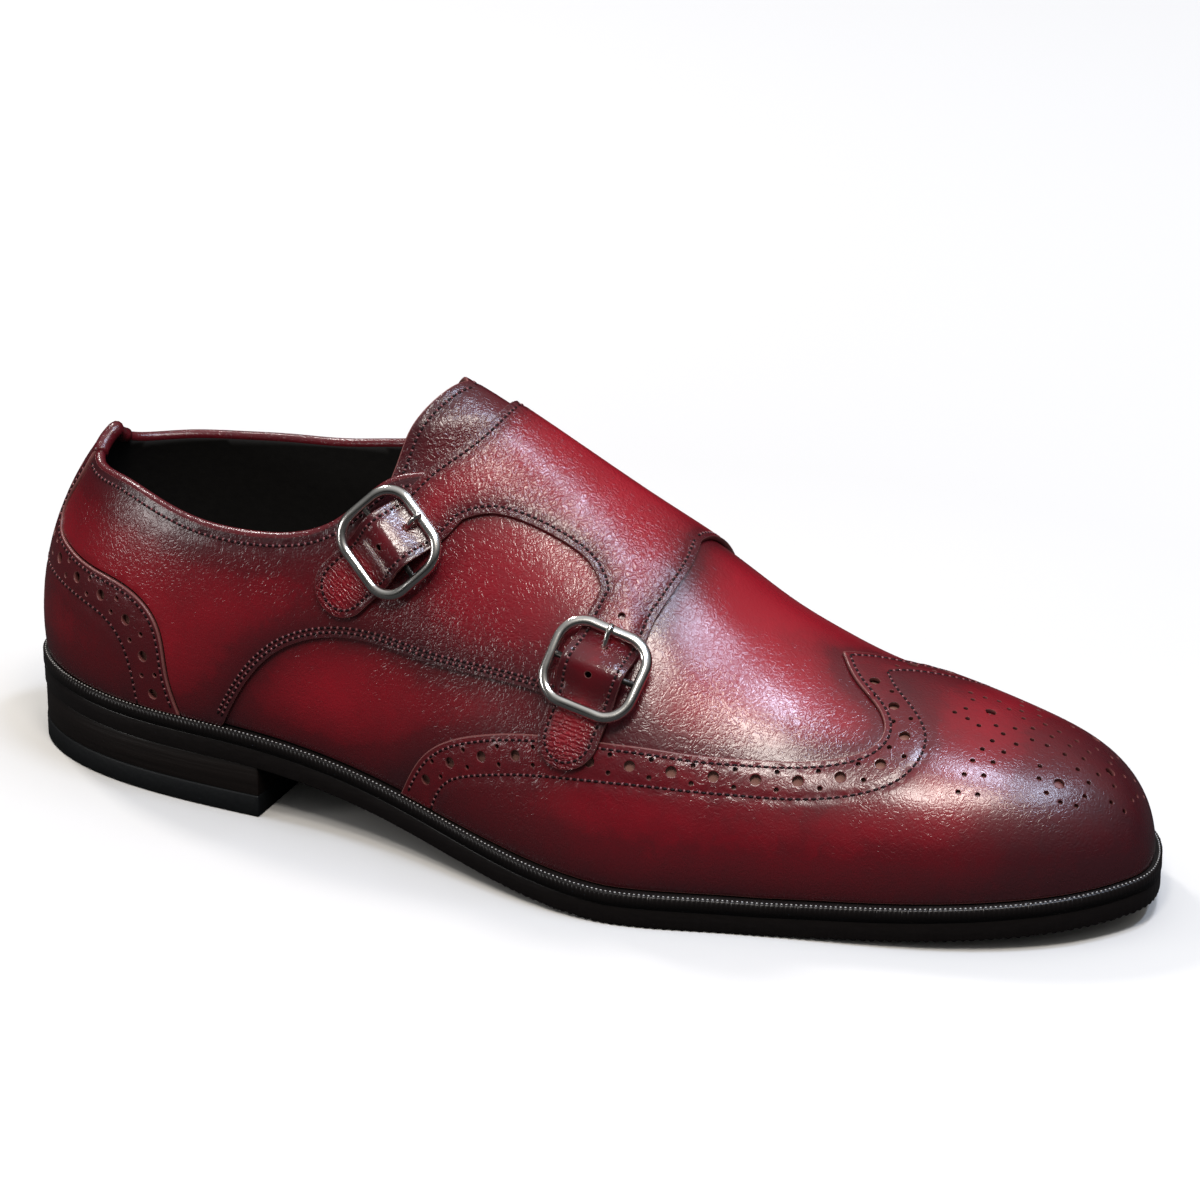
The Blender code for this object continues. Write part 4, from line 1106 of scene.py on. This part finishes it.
def tube(path, radius, closed=False, round_steps=3):
    """A round wire through points, as a mesh."""
    curve = bpy.data.curves.new("wire", "CURVE")
    curve.dimensions = "3D"
    curve.bevel_depth = radius
    curve.bevel_resolution = round_steps
    curve.use_fill_caps = not closed
    spline = curve.splines.new("POLY")
    spline.points.add(len(path) - 1)
    spline.use_cyclic_u = closed
    for point, place in zip(spline.points, path):
        point.co = (*place, 1)
    wire = bpy.data.objects.new("wire", curve)
    bpy.context.scene.collection.objects.link(wire)
    graph = bpy.context.evaluated_depsgraph_get()
    mesh = bpy.data.meshes.new_from_object(wire.evaluated_get(graph))
    bpy.data.objects.remove(wire)
    return mesh


def meshed(meshes):
    """One bmesh of several meshes, merged and facing outward."""
    bm = bmesh.new()
    for mesh in meshes:
        bm.from_mesh(mesh)
    bmesh.ops.remove_doubles(bm, verts=bm.verts, dist=SEW / 5)
    bmesh.ops.recalc_face_normals(bm, faces=bm.faces)
    return bm


def add_topline_bead():
    """The rolled edge round the collar."""
    stations = np.linspace(7.75, BACK, 130)
    lateral = skin(stations, LATERAL_TOPLINE(stations), np.full_like(stations, BEAD_LEVEL))
    stations = np.linspace(BACK, 8.45, 110)[1:]
    medial = skin(-stations, MEDIAL_TOPLINE(stations), np.full_like(stations, BEAD_LEVEL))
    bead = tube([*lateral, *medial], BEAD_RADIUS, round_steps=4)
    strip = COUNTER_EDGE[-1][0]
    over = np.linspace(strip, 2 * BACK - strip, 14)
    shares = np.where(over < BACK, LATERAL_TOPLINE(over), MEDIAL_TOPLINE(2 * BACK - over))
    over_back = skin(wrapped(over), shares, np.full_like(over, BEAD_LEVEL + .0001))
    fold = tube(list(over_back), BEAD_RADIUS * 1.45, round_steps=4)
    return dress(finish(meshed([bead, fold]), "topline_bead"), None, "burgundy_leather", BEAD_CALF)


# Buckles

def frame_path():
    half_length = (BUCKLE_LENGTH - BUCKLE_WIRE) / 2
    half_width = (BUCKLE_WIDTH - BUCKLE_WIRE) / 2
    corner = BUCKLE_CORNER - BUCKLE_WIRE / 2
    path = []
    for quarter, (sx, sy) in enumerate([(1, 1), (-1, 1), (-1, -1), (1, -1)]):
        for angle in np.linspace(0, math.pi / 2, 13) + quarter * math.pi / 2:
            path.append((sx * (half_length - corner) + corner * math.cos(angle),
                         sy * (half_width - corner) + corner * math.sin(angle), FRAME_LEVEL))
    return path


def bar_path():
    low = KEEPER_WIDTH / 2 + GAP
    half_width = (BUCKLE_WIDTH - BUCKLE_WIRE) / 2
    return [(0, -half_width, FRAME_LEVEL), (0, -low, BAR_LEVEL), (0, low, BAR_LEVEL),
            (0, half_width, FRAME_LEVEL)]


def prong_path():
    rest = (BUCKLE_LENGTH - BUCKLE_WIRE) / 2
    rest_level = FRAME_LEVEL + BUCKLE_WIRE / 2 + PRONG_RADIUS * .6
    out = STRAP_LEVEL + STRAP_LIFT * math.cos(PRONG_HOLE / LIFT_REACH * math.pi / 2)**2
    return [(PRONG_HOLE - .0012, 0, out - .0005), (PRONG_HOLE, 0, out + .7 * STRAP_WALL),
            (rest - .0012, 0, rest_level - .0001), (rest, 0, rest_level),
            (rest + .0011, 0, rest_level - .0002)]


def seated(name, meshes, seat, node, flatten=1.0, material=None):
    """Wrap a mesh that was made flat onto the last at a buckle's seat."""
    bm = meshed(meshes)
    corners = np.array([v.co for v in bm.verts])
    level = FRAME_LEVEL + (corners[:, 2] - FRAME_LEVEL) * flatten
    places = seat.find(corners[:, 0], corners[:, 1], level)
    for v, point in zip(bm.verts, skin(places[:, 0], places[:, 1], level)):
        v.co = point
    return dress(finish(bm, name), node, "polished_nickel", material or NICKEL)


def add_buckles():
    for name, seat in SEATS.items():
        wire = tube(frame_path(), BUCKLE_WIRE / 2, closed=True, round_steps=6)
        seated(f"buckle_{name}", [wire], seat, f"buckle_frame_{name}", .82)
        seated(f"buckle_bar_{name}", [tube(bar_path(), BAR_RADIUS)], seat, None, 1.0, BAR_STEEL_AND_SHADE)
        seated(f"prong_{name}", [tube(prong_path(), PRONG_RADIUS)], seat, f"buckle_prong_{name}")
        add_keeper(name)


def add_keeper(name):
    """The leather that is rolled over the bar, with softened edges."""
    bm = meshed([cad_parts[f"buckle_keeper_{name}"].data])
    round_edges(bm, KEEPER_WALL / 5)
    keeper = finish(bm, f"keeper_{name}")
    return dress(keeper, f"buckle_keeper_{name}", "burgundy_leather", BEAD_CALF)


# Sole

def even_edge(inset, step):
    """Points of the sole's edge at an even step, as a closed outline."""
    fine = np.linspace(-BACK, BACK, 9601)
    points = sole_edge(fine, np.full_like(fine, inset))
    run = run_along(points)
    at = np.linspace(0, run[-1], round(run[-1] / step) + 1)[:-1]
    return [tuple(p) for p in picked(points, run, at).tolist()]


PLAN_GRID = np.array([(x, y) for x in np.arange(-.150, .150, .004) for y in np.arange(-.055, .055, .004)])


def plan_sheet(loop, holes=(), rings=()):
    """Triangles of a sole piece in plan."""
    coords, edges = drawn([loop, *holes, *rings])
    grid = PLAN_GRID[inside(PLAN_GRID, loop)]
    coords += [tuple(p) for p in grid[Nearest(coords)(grid) > .002]]
    corners, faces, middles = filled(coords, edges, 1e-9)
    wanted = inside(middles, loop)
    for hole in holes:
        wanted &= ~inside(middles, hole)
    return corners, [face for face, keep in zip(faces, wanted) if keep]


def plate(name, sheet, low, high, rounding=.0004):
    """A sole piece between two surfaces, each a height for a place in plan."""
    bm = bmesh.new()
    thickened(bm, [sheet])
    x, y, layer = np.array([v.co for v in bm.verts]).T
    for v, z in zip(bm.verts, np.where(layer > .5, high(x, y), low(x, y))):
        v.co.z = z
    bmesh.ops.recalc_face_normals(bm, faces=bm.faces)
    if rounding:
        round_edges(bm, rounding)
    return finish(bm, name)


def wave_round(loop, pitch):
    """A height from 0 to 1 that waves along an outline, looked up by place in plan."""
    points = np.array(loop)
    steps = np.linalg.norm(np.diff(points, axis=0, append=points[:1]), axis=1)
    total = steps.sum()
    run = np.cumsum(steps) - steps
    waves = .5 - .5 * np.cos(2 * math.pi * run / (total / round(total / pitch)))
    heights = {(round(x, 7), round(y, 7)): float(w) for (x, y), w in zip(loop, waves)}
    return lambda x, y: np.array([heights.get((round(a, 7), round(b, 7)), np.nan) for a, b in zip(x, y)])


def add_welt():
    """The welt with its wheeled upper edge."""
    outer = even_edge(0.0, WHEEL_PITCH / 4)
    ring = even_edge(.0005, WHEEL_PITCH / 4)
    inner = [p for p in even_edge(WELT_WIDTH, .003)
             if Nearest(outer)([p])[0] > .97 * WELT_WIDTH]
    wheel = wave_round(outer, WHEEL_PITCH)

    def high(x, y):
        waves = wheel(x, y)
        return welt_top(x) - np.where(np.isnan(waves), 0, .0002 + WHEEL_DEPTH * np.nan_to_num(waves))

    sheet = plan_sheet(outer, [inner], [ring])
    piece = plate("wheeled_welt", sheet, lambda x, y: outsole_top(x) + GAP * .5, high, rounding=0)
    return dress(piece, "welt", "sole_leather", SOLE_EDGE)


def add_pale_welt_dashes():
    """Small pale dashes along the welt's outer edge."""
    stitches = bmesh.new()
    row = np.array(even_edge(.0007, WHEEL_PITCH))
    runs = (np.roll(row, -1, axis=0) - np.roll(row, 1, axis=0)) / 2
    for (x, y), (run_x, run_y) in zip(row, runs):
        turn = Matrix.Rotation(math.atan2(run_y, run_x), 4, "Z")
        size = Matrix.Diagonal((WHEEL_PITCH * .52, .00042, .00036, 1))
        place = Matrix.Translation((x, y, welt_top(x) - .00003))
        bmesh.ops.create_uvsphere(stitches, u_segments=6, v_segments=4, radius=.5,
                                  matrix=place @ turn @ size)
    return dress(finish(stitches, "pale_welt_dashes"), None, "sole_leather", PALE_WELT_DASH)


def add_outsole():
    """The outsole; its forefoot has a fine tread along the rim."""
    loop = even_edge(.0002, TREAD_PITCH / 4)
    tread = wave_round(loop, TREAD_PITCH)

    def low(x, y):
        waves = np.nan_to_num(tread(x, y))
        return underside(x) + waves * TREAD_DEPTH * ramp(x, -.02, .03)

    piece = plate("outsole_leather", plan_sheet(loop), low, lambda x, y: outsole_top(x))
    return dress(piece, "outsole", "sole_leather", SOLE_EDGE)


def heel_outline(inset):
    """The sole's edge behind the breast, and the straight breast."""
    breast = HEEL_LENGTH - LENGTH / 2
    points = [p for p in even_edge(inset, SOLE_STEP) if p[0] < breast - SOLE_STEP / 2]
    first = max(range(len(points)), key=lambda i: math.dist(points[i], points[i - 1]))
    points = points[first:] + points[:first]
    return [(breast, points[0][1]), *points, (breast, points[-1][1])]


def add_heel():
    loop = heel_outline(HEEL_INSET)
    stack = plate("heel_layers", plan_sheet(loop), lambda x, y: TOP_PIECE_THICKNESS + GAP * .3 + 0 * x,
                  lambda x, y: underside(x) - GAP * .3, .0002)
    dress(stack, "heel_stack", "sole_leather", HEEL_FINISH)
    top_piece = plate("heel_rubber", plan_sheet(heel_outline(HEEL_INSET * .6)), lambda x, y: 0 * x,
                      lambda x, y: TOP_PIECE_THICKNESS + 0 * x, .0004)
    return dress(top_piece, "heel_top_piece", "heel_rubber", RUBBER)


def add_sock():
    """The sock on the insole."""
    stations = np.linspace(-BACK, BACK, 700)[:-1]
    loop = [tuple(p) for p in sole_edge(stations, MARGIN(stations) * WELT_MARGIN + 2.5 * GAP).tolist()]
    piece = plate("sock_leather", plan_sheet(loop), lambda x, y: welt_top(x) + GAP,
                  lambda x, y: welt_top(x) + GAP + INSOLE_THICKNESS, .0003)
    return dress(piece, "insole", "insole_leather", LINING)


# Finishes

def add(tree, kind, sockets=None, **settings):
    """A node with its settings; each socket gets a value or a link."""
    node = tree.nodes.new("ShaderNode" + kind)
    for key, value in settings.items():
        setattr(node, key, value)
    for key, value in (sockets or {}).items():
        if isinstance(value, bpy.types.NodeSocket):
            tree.links.new(value, node.inputs[key])
        else:
            node.inputs[key].default_value = value
    return node


def calc(tree, operation, first, second=0.0, third=0.0):
    node = add(tree, "Math", {0: first, 1: second, 2: third}, operation=operation)
    return node.outputs[0]


def blend_colours(tree, share, first, second):
    node = add(tree, "Mix", data_type="RGBA", sockets={0: share, 6: first, 7: second})
    return node.outputs[2]


def make_group(name, inputs, outputs):
    """An empty node group with named sockets; inputs give a kind and a default."""
    group = bpy.data.node_groups.new(name, "ShaderNodeTree")
    for label, (kind, default) in inputs.items():
        socket = group.interface.new_socket(label, in_out="INPUT", socket_type="NodeSocket" + kind)
        if default is not None:
            socket.default_value = default
    for label, kind in outputs.items():
        group.interface.new_socket(label, in_out="OUTPUT", socket_type="NodeSocket" + kind)
    return group, group.nodes.new("NodeGroupInput").outputs, group.nodes.new("NodeGroupOutput").inputs


def make_calf_grain():
    """Swirling fine lines, pores and wrinkles of calf, as a height from 0 to 1."""
    group, given, result = make_group(
        "Calf grain",
        {"Vector": ("Vector", None), "Wrinkle": ("Float", .2), "Strap Run": ("Float", 0.0),
         "Fold": ("Float", 0.0)},
        {"Height": "Float"})
    vector = given["Vector"]
    field = add(group, "TexNoise", {"Vector": vector, "Scale": 780.0, "Detail": .6, "Distortion": .8})
    line = calc(group, "ABSOLUTE", calc(group, "SUBTRACT", field.outputs[0], .5))
    line = calc(group, "SMOOTH_MIN", calc(group, "MULTIPLY", line, 7.0), 1.0, .3)
    patches = add(group, "TexNoise", {"Vector": vector, "Scale": 70.0, "Detail": 1.0})
    amount = calc(group, "MULTIPLY_ADD", patches.outputs[0], .36, -.03)
    amount = calc(group, "MULTIPLY", amount, calc(group, "MULTIPLY_ADD", given["Wrinkle"], 2.0, .45))
    swirl = calc(group, "MULTIPLY", line, amount)
    pores = add(group, "TexNoise", {"Vector": vector, "Scale": 2200.0, "Detail": 1.0})
    fine = calc(group, "MULTIPLY", pores.outputs[0], .06)
    folds = add(group, "TexNoise", {"Vector": vector, "Scale": 330.0, "Detail": 2.0, "Distortion": 1.6})
    sharp = calc(group, "ABSOLUTE", calc(group, "SUBTRACT", folds.outputs[0], .5))
    strong = calc(group, "MULTIPLY", given["Wrinkle"], given["Wrinkle"])
    folded = calc(group, "MULTIPLY", calc(group, "MULTIPLY", sharp, 2.6), strong)
    crooked = calc(group, "MULTIPLY", folds.outputs[0], 12.0)
    crooked = calc(group, "MULTIPLY_ADD", patches.outputs[0], 16.0, crooked)
    turns = calc(group, "MULTIPLY_ADD", given["Strap Run"], 2 * math.pi * STRAP_REACH / FOLD_PITCH, crooked)
    fold_height = calc(group, "MULTIPLY", given["Fold"], .36)
    crosswise = calc(group, "MULTIPLY", calc(group, "SINE", turns), fold_height)
    total = calc(group, "ADD", calc(group, "ADD", swirl, fine), calc(group, "ADD", folded, crosswise))
    group.links.new(total, result["Height"])
    return group


def make_hand_burnish():
    """Colour and gloss of leather that was darkened by hand toward its edges, and by painted shade where a
    piece asks for it.
    """
    group, given, result = make_group(
        "Hand burnish",
        {"Vector": ("Vector", None), "Burnish And Shade": ("Float", .5), "Polish": ("Float", 0.0),
         "Clear": ("Color", None), "Deep": ("Color", None), "Dark": ("Color", None)},
        {"Color": "Color", "Roughness": "Float"})
    vector = given["Vector"]
    cloud = add(group, "TexNoise", {"Vector": vector, "Scale": 48.0, "Detail": 4.0, "Roughness": .6})
    streak = add(group, "TexNoise", {"Vector": vector, "Scale": 300.0, "Detail": 3.0, "Distortion": 1.0})
    uneven = calc(group, "MULTIPLY_ADD", cloud.outputs[0], .42, -.21)
    uneven = calc(group, "ADD", uneven, calc(group, "MULTIPLY_ADD", streak.outputs[0], .16, -.08))
    amount = calc(group, "ADD", given["Burnish And Shade"], uneven)
    first = add(group, "MapRange", {"Value": amount, "From Min": .05, "From Max": .50})
    second = add(group, "MapRange", {"Value": amount, "From Min": .42, "From Max": .92})
    colour = blend_colours(group, first.outputs[0], given["Clear"], given["Deep"])
    colour = blend_colours(group, second.outputs[0], colour, given["Dark"])
    gloss = calc(group, "MULTIPLY_ADD", streak.outputs[0], .10, .175)
    gloss = calc(group, "MULTIPLY_ADD", amount, .06, gloss)
    gloss = calc(group, "MULTIPLY", gloss, calc(group, "MULTIPLY_ADD", given["Polish"], -.22, 1.0))
    group.links.new(colour, result["Color"])
    group.links.new(gloss, result["Roughness"])
    return group


def new_finish(name, **constants):
    """A material and its shader, with the sockets that are the same all over."""
    material = bpy.data.materials.new(name)
    material.use_nodes = True
    tree = material.node_tree
    shader = tree.nodes["Principled BSDF"]
    for key, value in constants.items():
        shader.inputs[key.replace("_", " ")].default_value = value
    place = add(tree, "TexCoord").outputs["Object"]
    return material, tree, shader, place


def put_group(tree, group, sockets):
    node = add(tree, "Group", node_tree=group)
    for key, value in sockets.items():
        if isinstance(value, bpy.types.NodeSocket):
            tree.links.new(value, node.inputs[key])
        else:
            node.inputs[key].default_value = value
    return node


def bump(tree, shader, height, distance):
    node = add(tree, "Bump", {"Height": height, "Distance": distance, "Strength": 1.0})
    tree.links.new(node.outputs[0], shader.inputs["Normal"])


def make_calf(name, clear, deep, dark, fixed_burnish=None):
    """Calf with hand burnish and painted shade; how dark it is comes from the piece unless it is fixed."""
    material, tree, shader, place = new_finish(
        name, Coat_Weight=.12, Coat_Roughness=.22, Specular_IOR_Level=.62)
    given = {label: add(tree, "Attribute", attribute_name=label).outputs["Fac"]
             for label in ("burnish", "wrinkle", "polish", "strap_run", "fold")}
    if fixed_burnish is not None:
        given.update(burnish=fixed_burnish, wrinkle=.3, polish=0.0, strap_run=0.0, fold=0.0)
    tone = put_group(tree, BURNISH_AND_SHADE, {
        "Vector": place, "Burnish And Shade": given["burnish"], "Polish": given["polish"], "Clear": clear,
        "Deep": deep, "Dark": dark})
    tree.links.new(tone.outputs["Color"], shader.inputs["Base Color"])
    tree.links.new(tone.outputs["Roughness"], shader.inputs["Roughness"])
    grain = put_group(tree, CALF_GRAIN, {
        "Vector": place, "Wrinkle": given["wrinkle"], "Strap Run": given["strap_run"],
        "Fold": given["fold"]})
    bump(tree, shader, grain.outputs["Height"], .00024)
    return material


def make_plain(name, first, second, roughness, scale, distance, stretch=(1, 1, 1), detail=4.0, **constants):
    """A finish of two near colours in fine streaks, with a bump from the same streaks."""
    material, tree, shader, place = new_finish(name, **constants)
    placed = add(tree, "Mapping", {"Vector": place, "Scale": stretch}).outputs[0]
    streak = add(tree, "TexNoise", {"Vector": placed, "Scale": scale, "Detail": detail, "Roughness": .6})
    tree.links.new(blend_colours(tree, streak.outputs[0], first, second), shader.inputs["Base Color"])
    uneven = calc(tree, "MULTIPLY_ADD", streak.outputs[0], .2, roughness - .1)
    tree.links.new(uneven, shader.inputs["Roughness"])
    bump(tree, shader, streak.outputs[0], distance)
    return material


CLEAR_RED = (.255, .0060, .0140, 1)
DEEP_RED = (.105, .0045, .0085, 1)
PLUM = (.038, .0070, .0095, 1)

CALF_GRAIN = make_calf_grain()
BURNISH_AND_SHADE = make_hand_burnish()
CLEAR_CALF = make_calf("burgundy calf", CLEAR_RED, DEEP_RED, PLUM)
BEAD_CALF = make_calf("dark calf", CLEAR_RED, DEEP_RED, PLUM, .60)
# Pinker than the calf round it, as a painted highlight on the bulges between stitches.
BETWEEN_CALF_AND_HIGHLIGHT = make_plain("calf between stitches and painted highlight", (.110, .022, .027, 1), (.240, .075, .080, 1), .32,
                          900.0, .00005, Specular_IOR_Level=.5)
# Cut edges, and the rounded rims along edges and holes, where this lighter pink is a painted highlight.
CUT_EDGE_AND_RIM_HIGHLIGHT = make_plain("cut edge and painted rim highlight", (.120, .034, .033, 1), (.215, .075, .068, 1), .38, 900.0, .00006,
                      Specular_IOR_Level=.45)
UNDERLAY = make_plain("undyed underlay", (.200, .085, .068, 1), (.320, .150, .120, 1), .6, 900.0, .00008,
                      Specular_IOR_Level=.2)
# Dark red-black thread, painted darker still as the shade in its slot.
THREAD_AND_SLOT_SHADE = make_plain("waxed thread with painted slot shade", (.006, .0018, .0024, 1), (.014, .0035, .005, 1), .5,
                           2500.0, .00006, Specular_IOR_Level=.15)
PALE_WELT_DASH = make_plain("pale welt dashes", (.240, .230, .220, 1), (.600, .590, .570, 1), .45, 900.0, .00005,
                         Specular_IOR_Level=.5)
LINING = make_plain("black lining leather", (.007, .0065, .0065, 1), (.012, .011, .010, 1), .65,
                    500.0, .00008, Specular_IOR_Level=.2)
SOLE_EDGE = make_plain("sole edge", (.0045, .0036, .0034, 1), (.0085, .0062, .0058, 1), .34, 260.0, .00006,
                       (1, 1, 4), Coat_Weight=.10, Coat_Roughness=.3, Specular_IOR_Level=.3)
HEEL_FINISH = make_plain("stacked heel", (.0045, .0036, .0033, 1), (.0120, .0080, .0068, 1), .40,
                         40.0, .00020, (.5, .5, 14), Coat_Weight=.08, Coat_Roughness=.3,
                         Specular_IOR_Level=.3)
RUBBER = make_plain("heel rubber", (.0045, .0052, .0060, 1), (.0075, .0085, .0095, 1), .5, 700.0, .00008,
                    Specular_IOR_Level=.3)
NICKEL = make_plain("polished nickel", (.86, .84, .80, 1), (.74, .72, .68, 1), .22, 150.0, .00040,
                    detail=.3, Metallic=1.0)
# Dark steel, darkened as painted shade where the bar lies in the frame's shadow.
BAR_STEEL_AND_SHADE = make_plain("dark steel bar with painted shade", (.050, .045, .042, 1), (.085, .080, .075, 1), .4, 900.0, .00002,
                       Metallic=1.0)

STITCH_ROWS = []

add_outsole()
add_welt()
add_pale_welt_dashes()
add_heel()
add_sock()
add_vamp()
add_tongue()
add_wing_cap()
add_heel_counter()
add_lateral_quarter()
add_strap_quarter()
add_topline_bead()
add_buckles()
add_stitching()


# Floor, light and camera

CAMERA_TARGET = (0.0063, 0.0003, 0.0606)
CAMERA_DISTANCE = 1.2373
CAMERA_AZIMUTH = math.radians(23.76)
CAMERA_ELEVATION = math.radians(22.79)
CAMERA_ROLL = math.radians(-.32)
CAMERA_LENS = 149.2
WORLD_LOW = .09
WORLD_OVERHEAD = 1.05
WORLD_GLEAM = .55


def add_floor():
    """A pale floor, which throws back little light onto the shoe and looks darker still in reflections. The
    camera sees it painted darker near the shoe and lighter farther off: painted shade and painted light
    that even out how the lamps light it.
    """
    bm = bmesh.new()
    bmesh.ops.create_grid(bm, x_segments=1, y_segments=1, size=6)
    bmesh.ops.translate(bm, verts=bm.verts, vec=(0, 0, -.0001))
    floor = finish(bm, "floor")
    material, tree, shader, _ = new_finish("pale floor", Roughness=.9, Specular_IOR_Level=.1)
    # Painted shade near the shoe, painted light farther off.
    away = add(tree, "VectorMath", {0: add(tree, "TexCoord").outputs["Object"]}, operation="LENGTH")
    away = add(tree, "MapRange", {"Value": away.outputs["Value"], "From Min": .25, "From Max": 1.3})
    far = blend_colours(tree, away.outputs[0], (.62, .61, .588, 1), (.98, .98, .975, 1))
    seen = add(tree, "LightPath").outputs["Is Camera Ray"]
    gleam = add(tree, "LightPath").outputs["Is Glossy Ray"]
    unseen = blend_colours(tree, gleam, (.15, .15, .15, 1), (.02, .02, .02, 1))
    colour = blend_colours(tree, seen, unseen, far)
    tree.links.new(colour, shader.inputs["Base Color"])
    floor.data.materials.append(material)


def add_softbox(name, place, size, power, colour):
    light = bpy.data.lights.new(name, "AREA")
    light.shape = "RECTANGLE"
    light.size, light.size_y = size
    light.energy = power
    light.color = colour
    softbox = bpy.data.objects.new(name, light)
    bpy.context.scene.collection.objects.link(softbox)
    aim = Vector((.02, 0, .05)) - Vector(place)
    softbox.matrix_world = Matrix.Translation(place) @ aim.to_track_quat("-Z", "Y").to_matrix().to_4x4()


def add_camera():
    camera_data = bpy.data.cameras.new("camera")
    camera_data.sensor_width = 36
    camera_data.lens = CAMERA_LENS
    camera = bpy.data.objects.new("camera", camera_data)
    bpy.context.scene.collection.objects.link(camera)
    azimuth, elevation, roll = CAMERA_AZIMUTH, CAMERA_ELEVATION, CAMERA_ROLL
    back = Vector((math.sin(azimuth) * math.cos(elevation), -math.cos(azimuth) * math.cos(elevation),
                   math.sin(elevation)))
    level = Vector((math.cos(azimuth), math.sin(azimuth), 0))
    upright = back.cross(level)
    right = level * math.cos(roll) + upright * math.sin(roll)
    up = upright * math.cos(roll) - level * math.sin(roll)
    camera.matrix_world = Matrix.Translation(Vector(CAMERA_TARGET) + back * CAMERA_DISTANCE) @ Matrix(
        (right, up, back)).transposed().to_4x4()
    bpy.context.scene.camera = camera


def add_world():
    """Pale light, strongest overhead; what gleams sees it dimmer, as with flags beside the set."""
    world = bpy.data.worlds.new("studio")
    world.use_nodes = True
    tree = world.node_tree
    upward = add(tree, "SeparateXYZ", {"Vector": add(tree, "TexCoord").outputs["Generated"]}).outputs["Z"]
    overhead = calc(tree, "POWER", calc(tree, "MAXIMUM", upward, 0.0), 2.0)
    light = calc(tree, "MULTIPLY_ADD", overhead, WORLD_OVERHEAD, WORLD_LOW)
    gleam = add(tree, "LightPath").outputs["Is Glossy Ray"]
    dimmer = calc(tree, "SUBTRACT", calc(tree, "MULTIPLY", overhead, WORLD_GLEAM), light)
    strength = calc(tree, "MULTIPLY_ADD", gleam, dimmer, light)
    sky = tree.nodes["Background"]
    sky.inputs["Color"].default_value = (1, 1, 1, 1)
    tree.links.new(strength, sky.inputs["Strength"])
    bpy.context.scene.world = world
    bpy.context.scene.view_settings.view_transform = "Standard"


add_floor()
add_softbox("key", (.40, -.54, 1.20), (.24, .18), 5.4, (1.0, .93, .86))
add_softbox("window", (.19, -.72, 1.04), (.15, .15), 4.2, (1.0, .94, .88))
add_softbox("strip", (.72, .00, 1.18), (.62, .05), 5.8, (.64, .76, 1.0))
add_softbox("above", (.34, -.08, 1.24), (.26, .08), 5.0, (.66, .77, 1.0))
add_softbox("back", (-.66, .36, .92), (.14, .14), 4.6, (1.0, .96, .94))
add_softbox("left", (-1.15, -.80, .34), (.40, .26), 3.2, (1.0, .98, .97))
add_camera()
add_world()
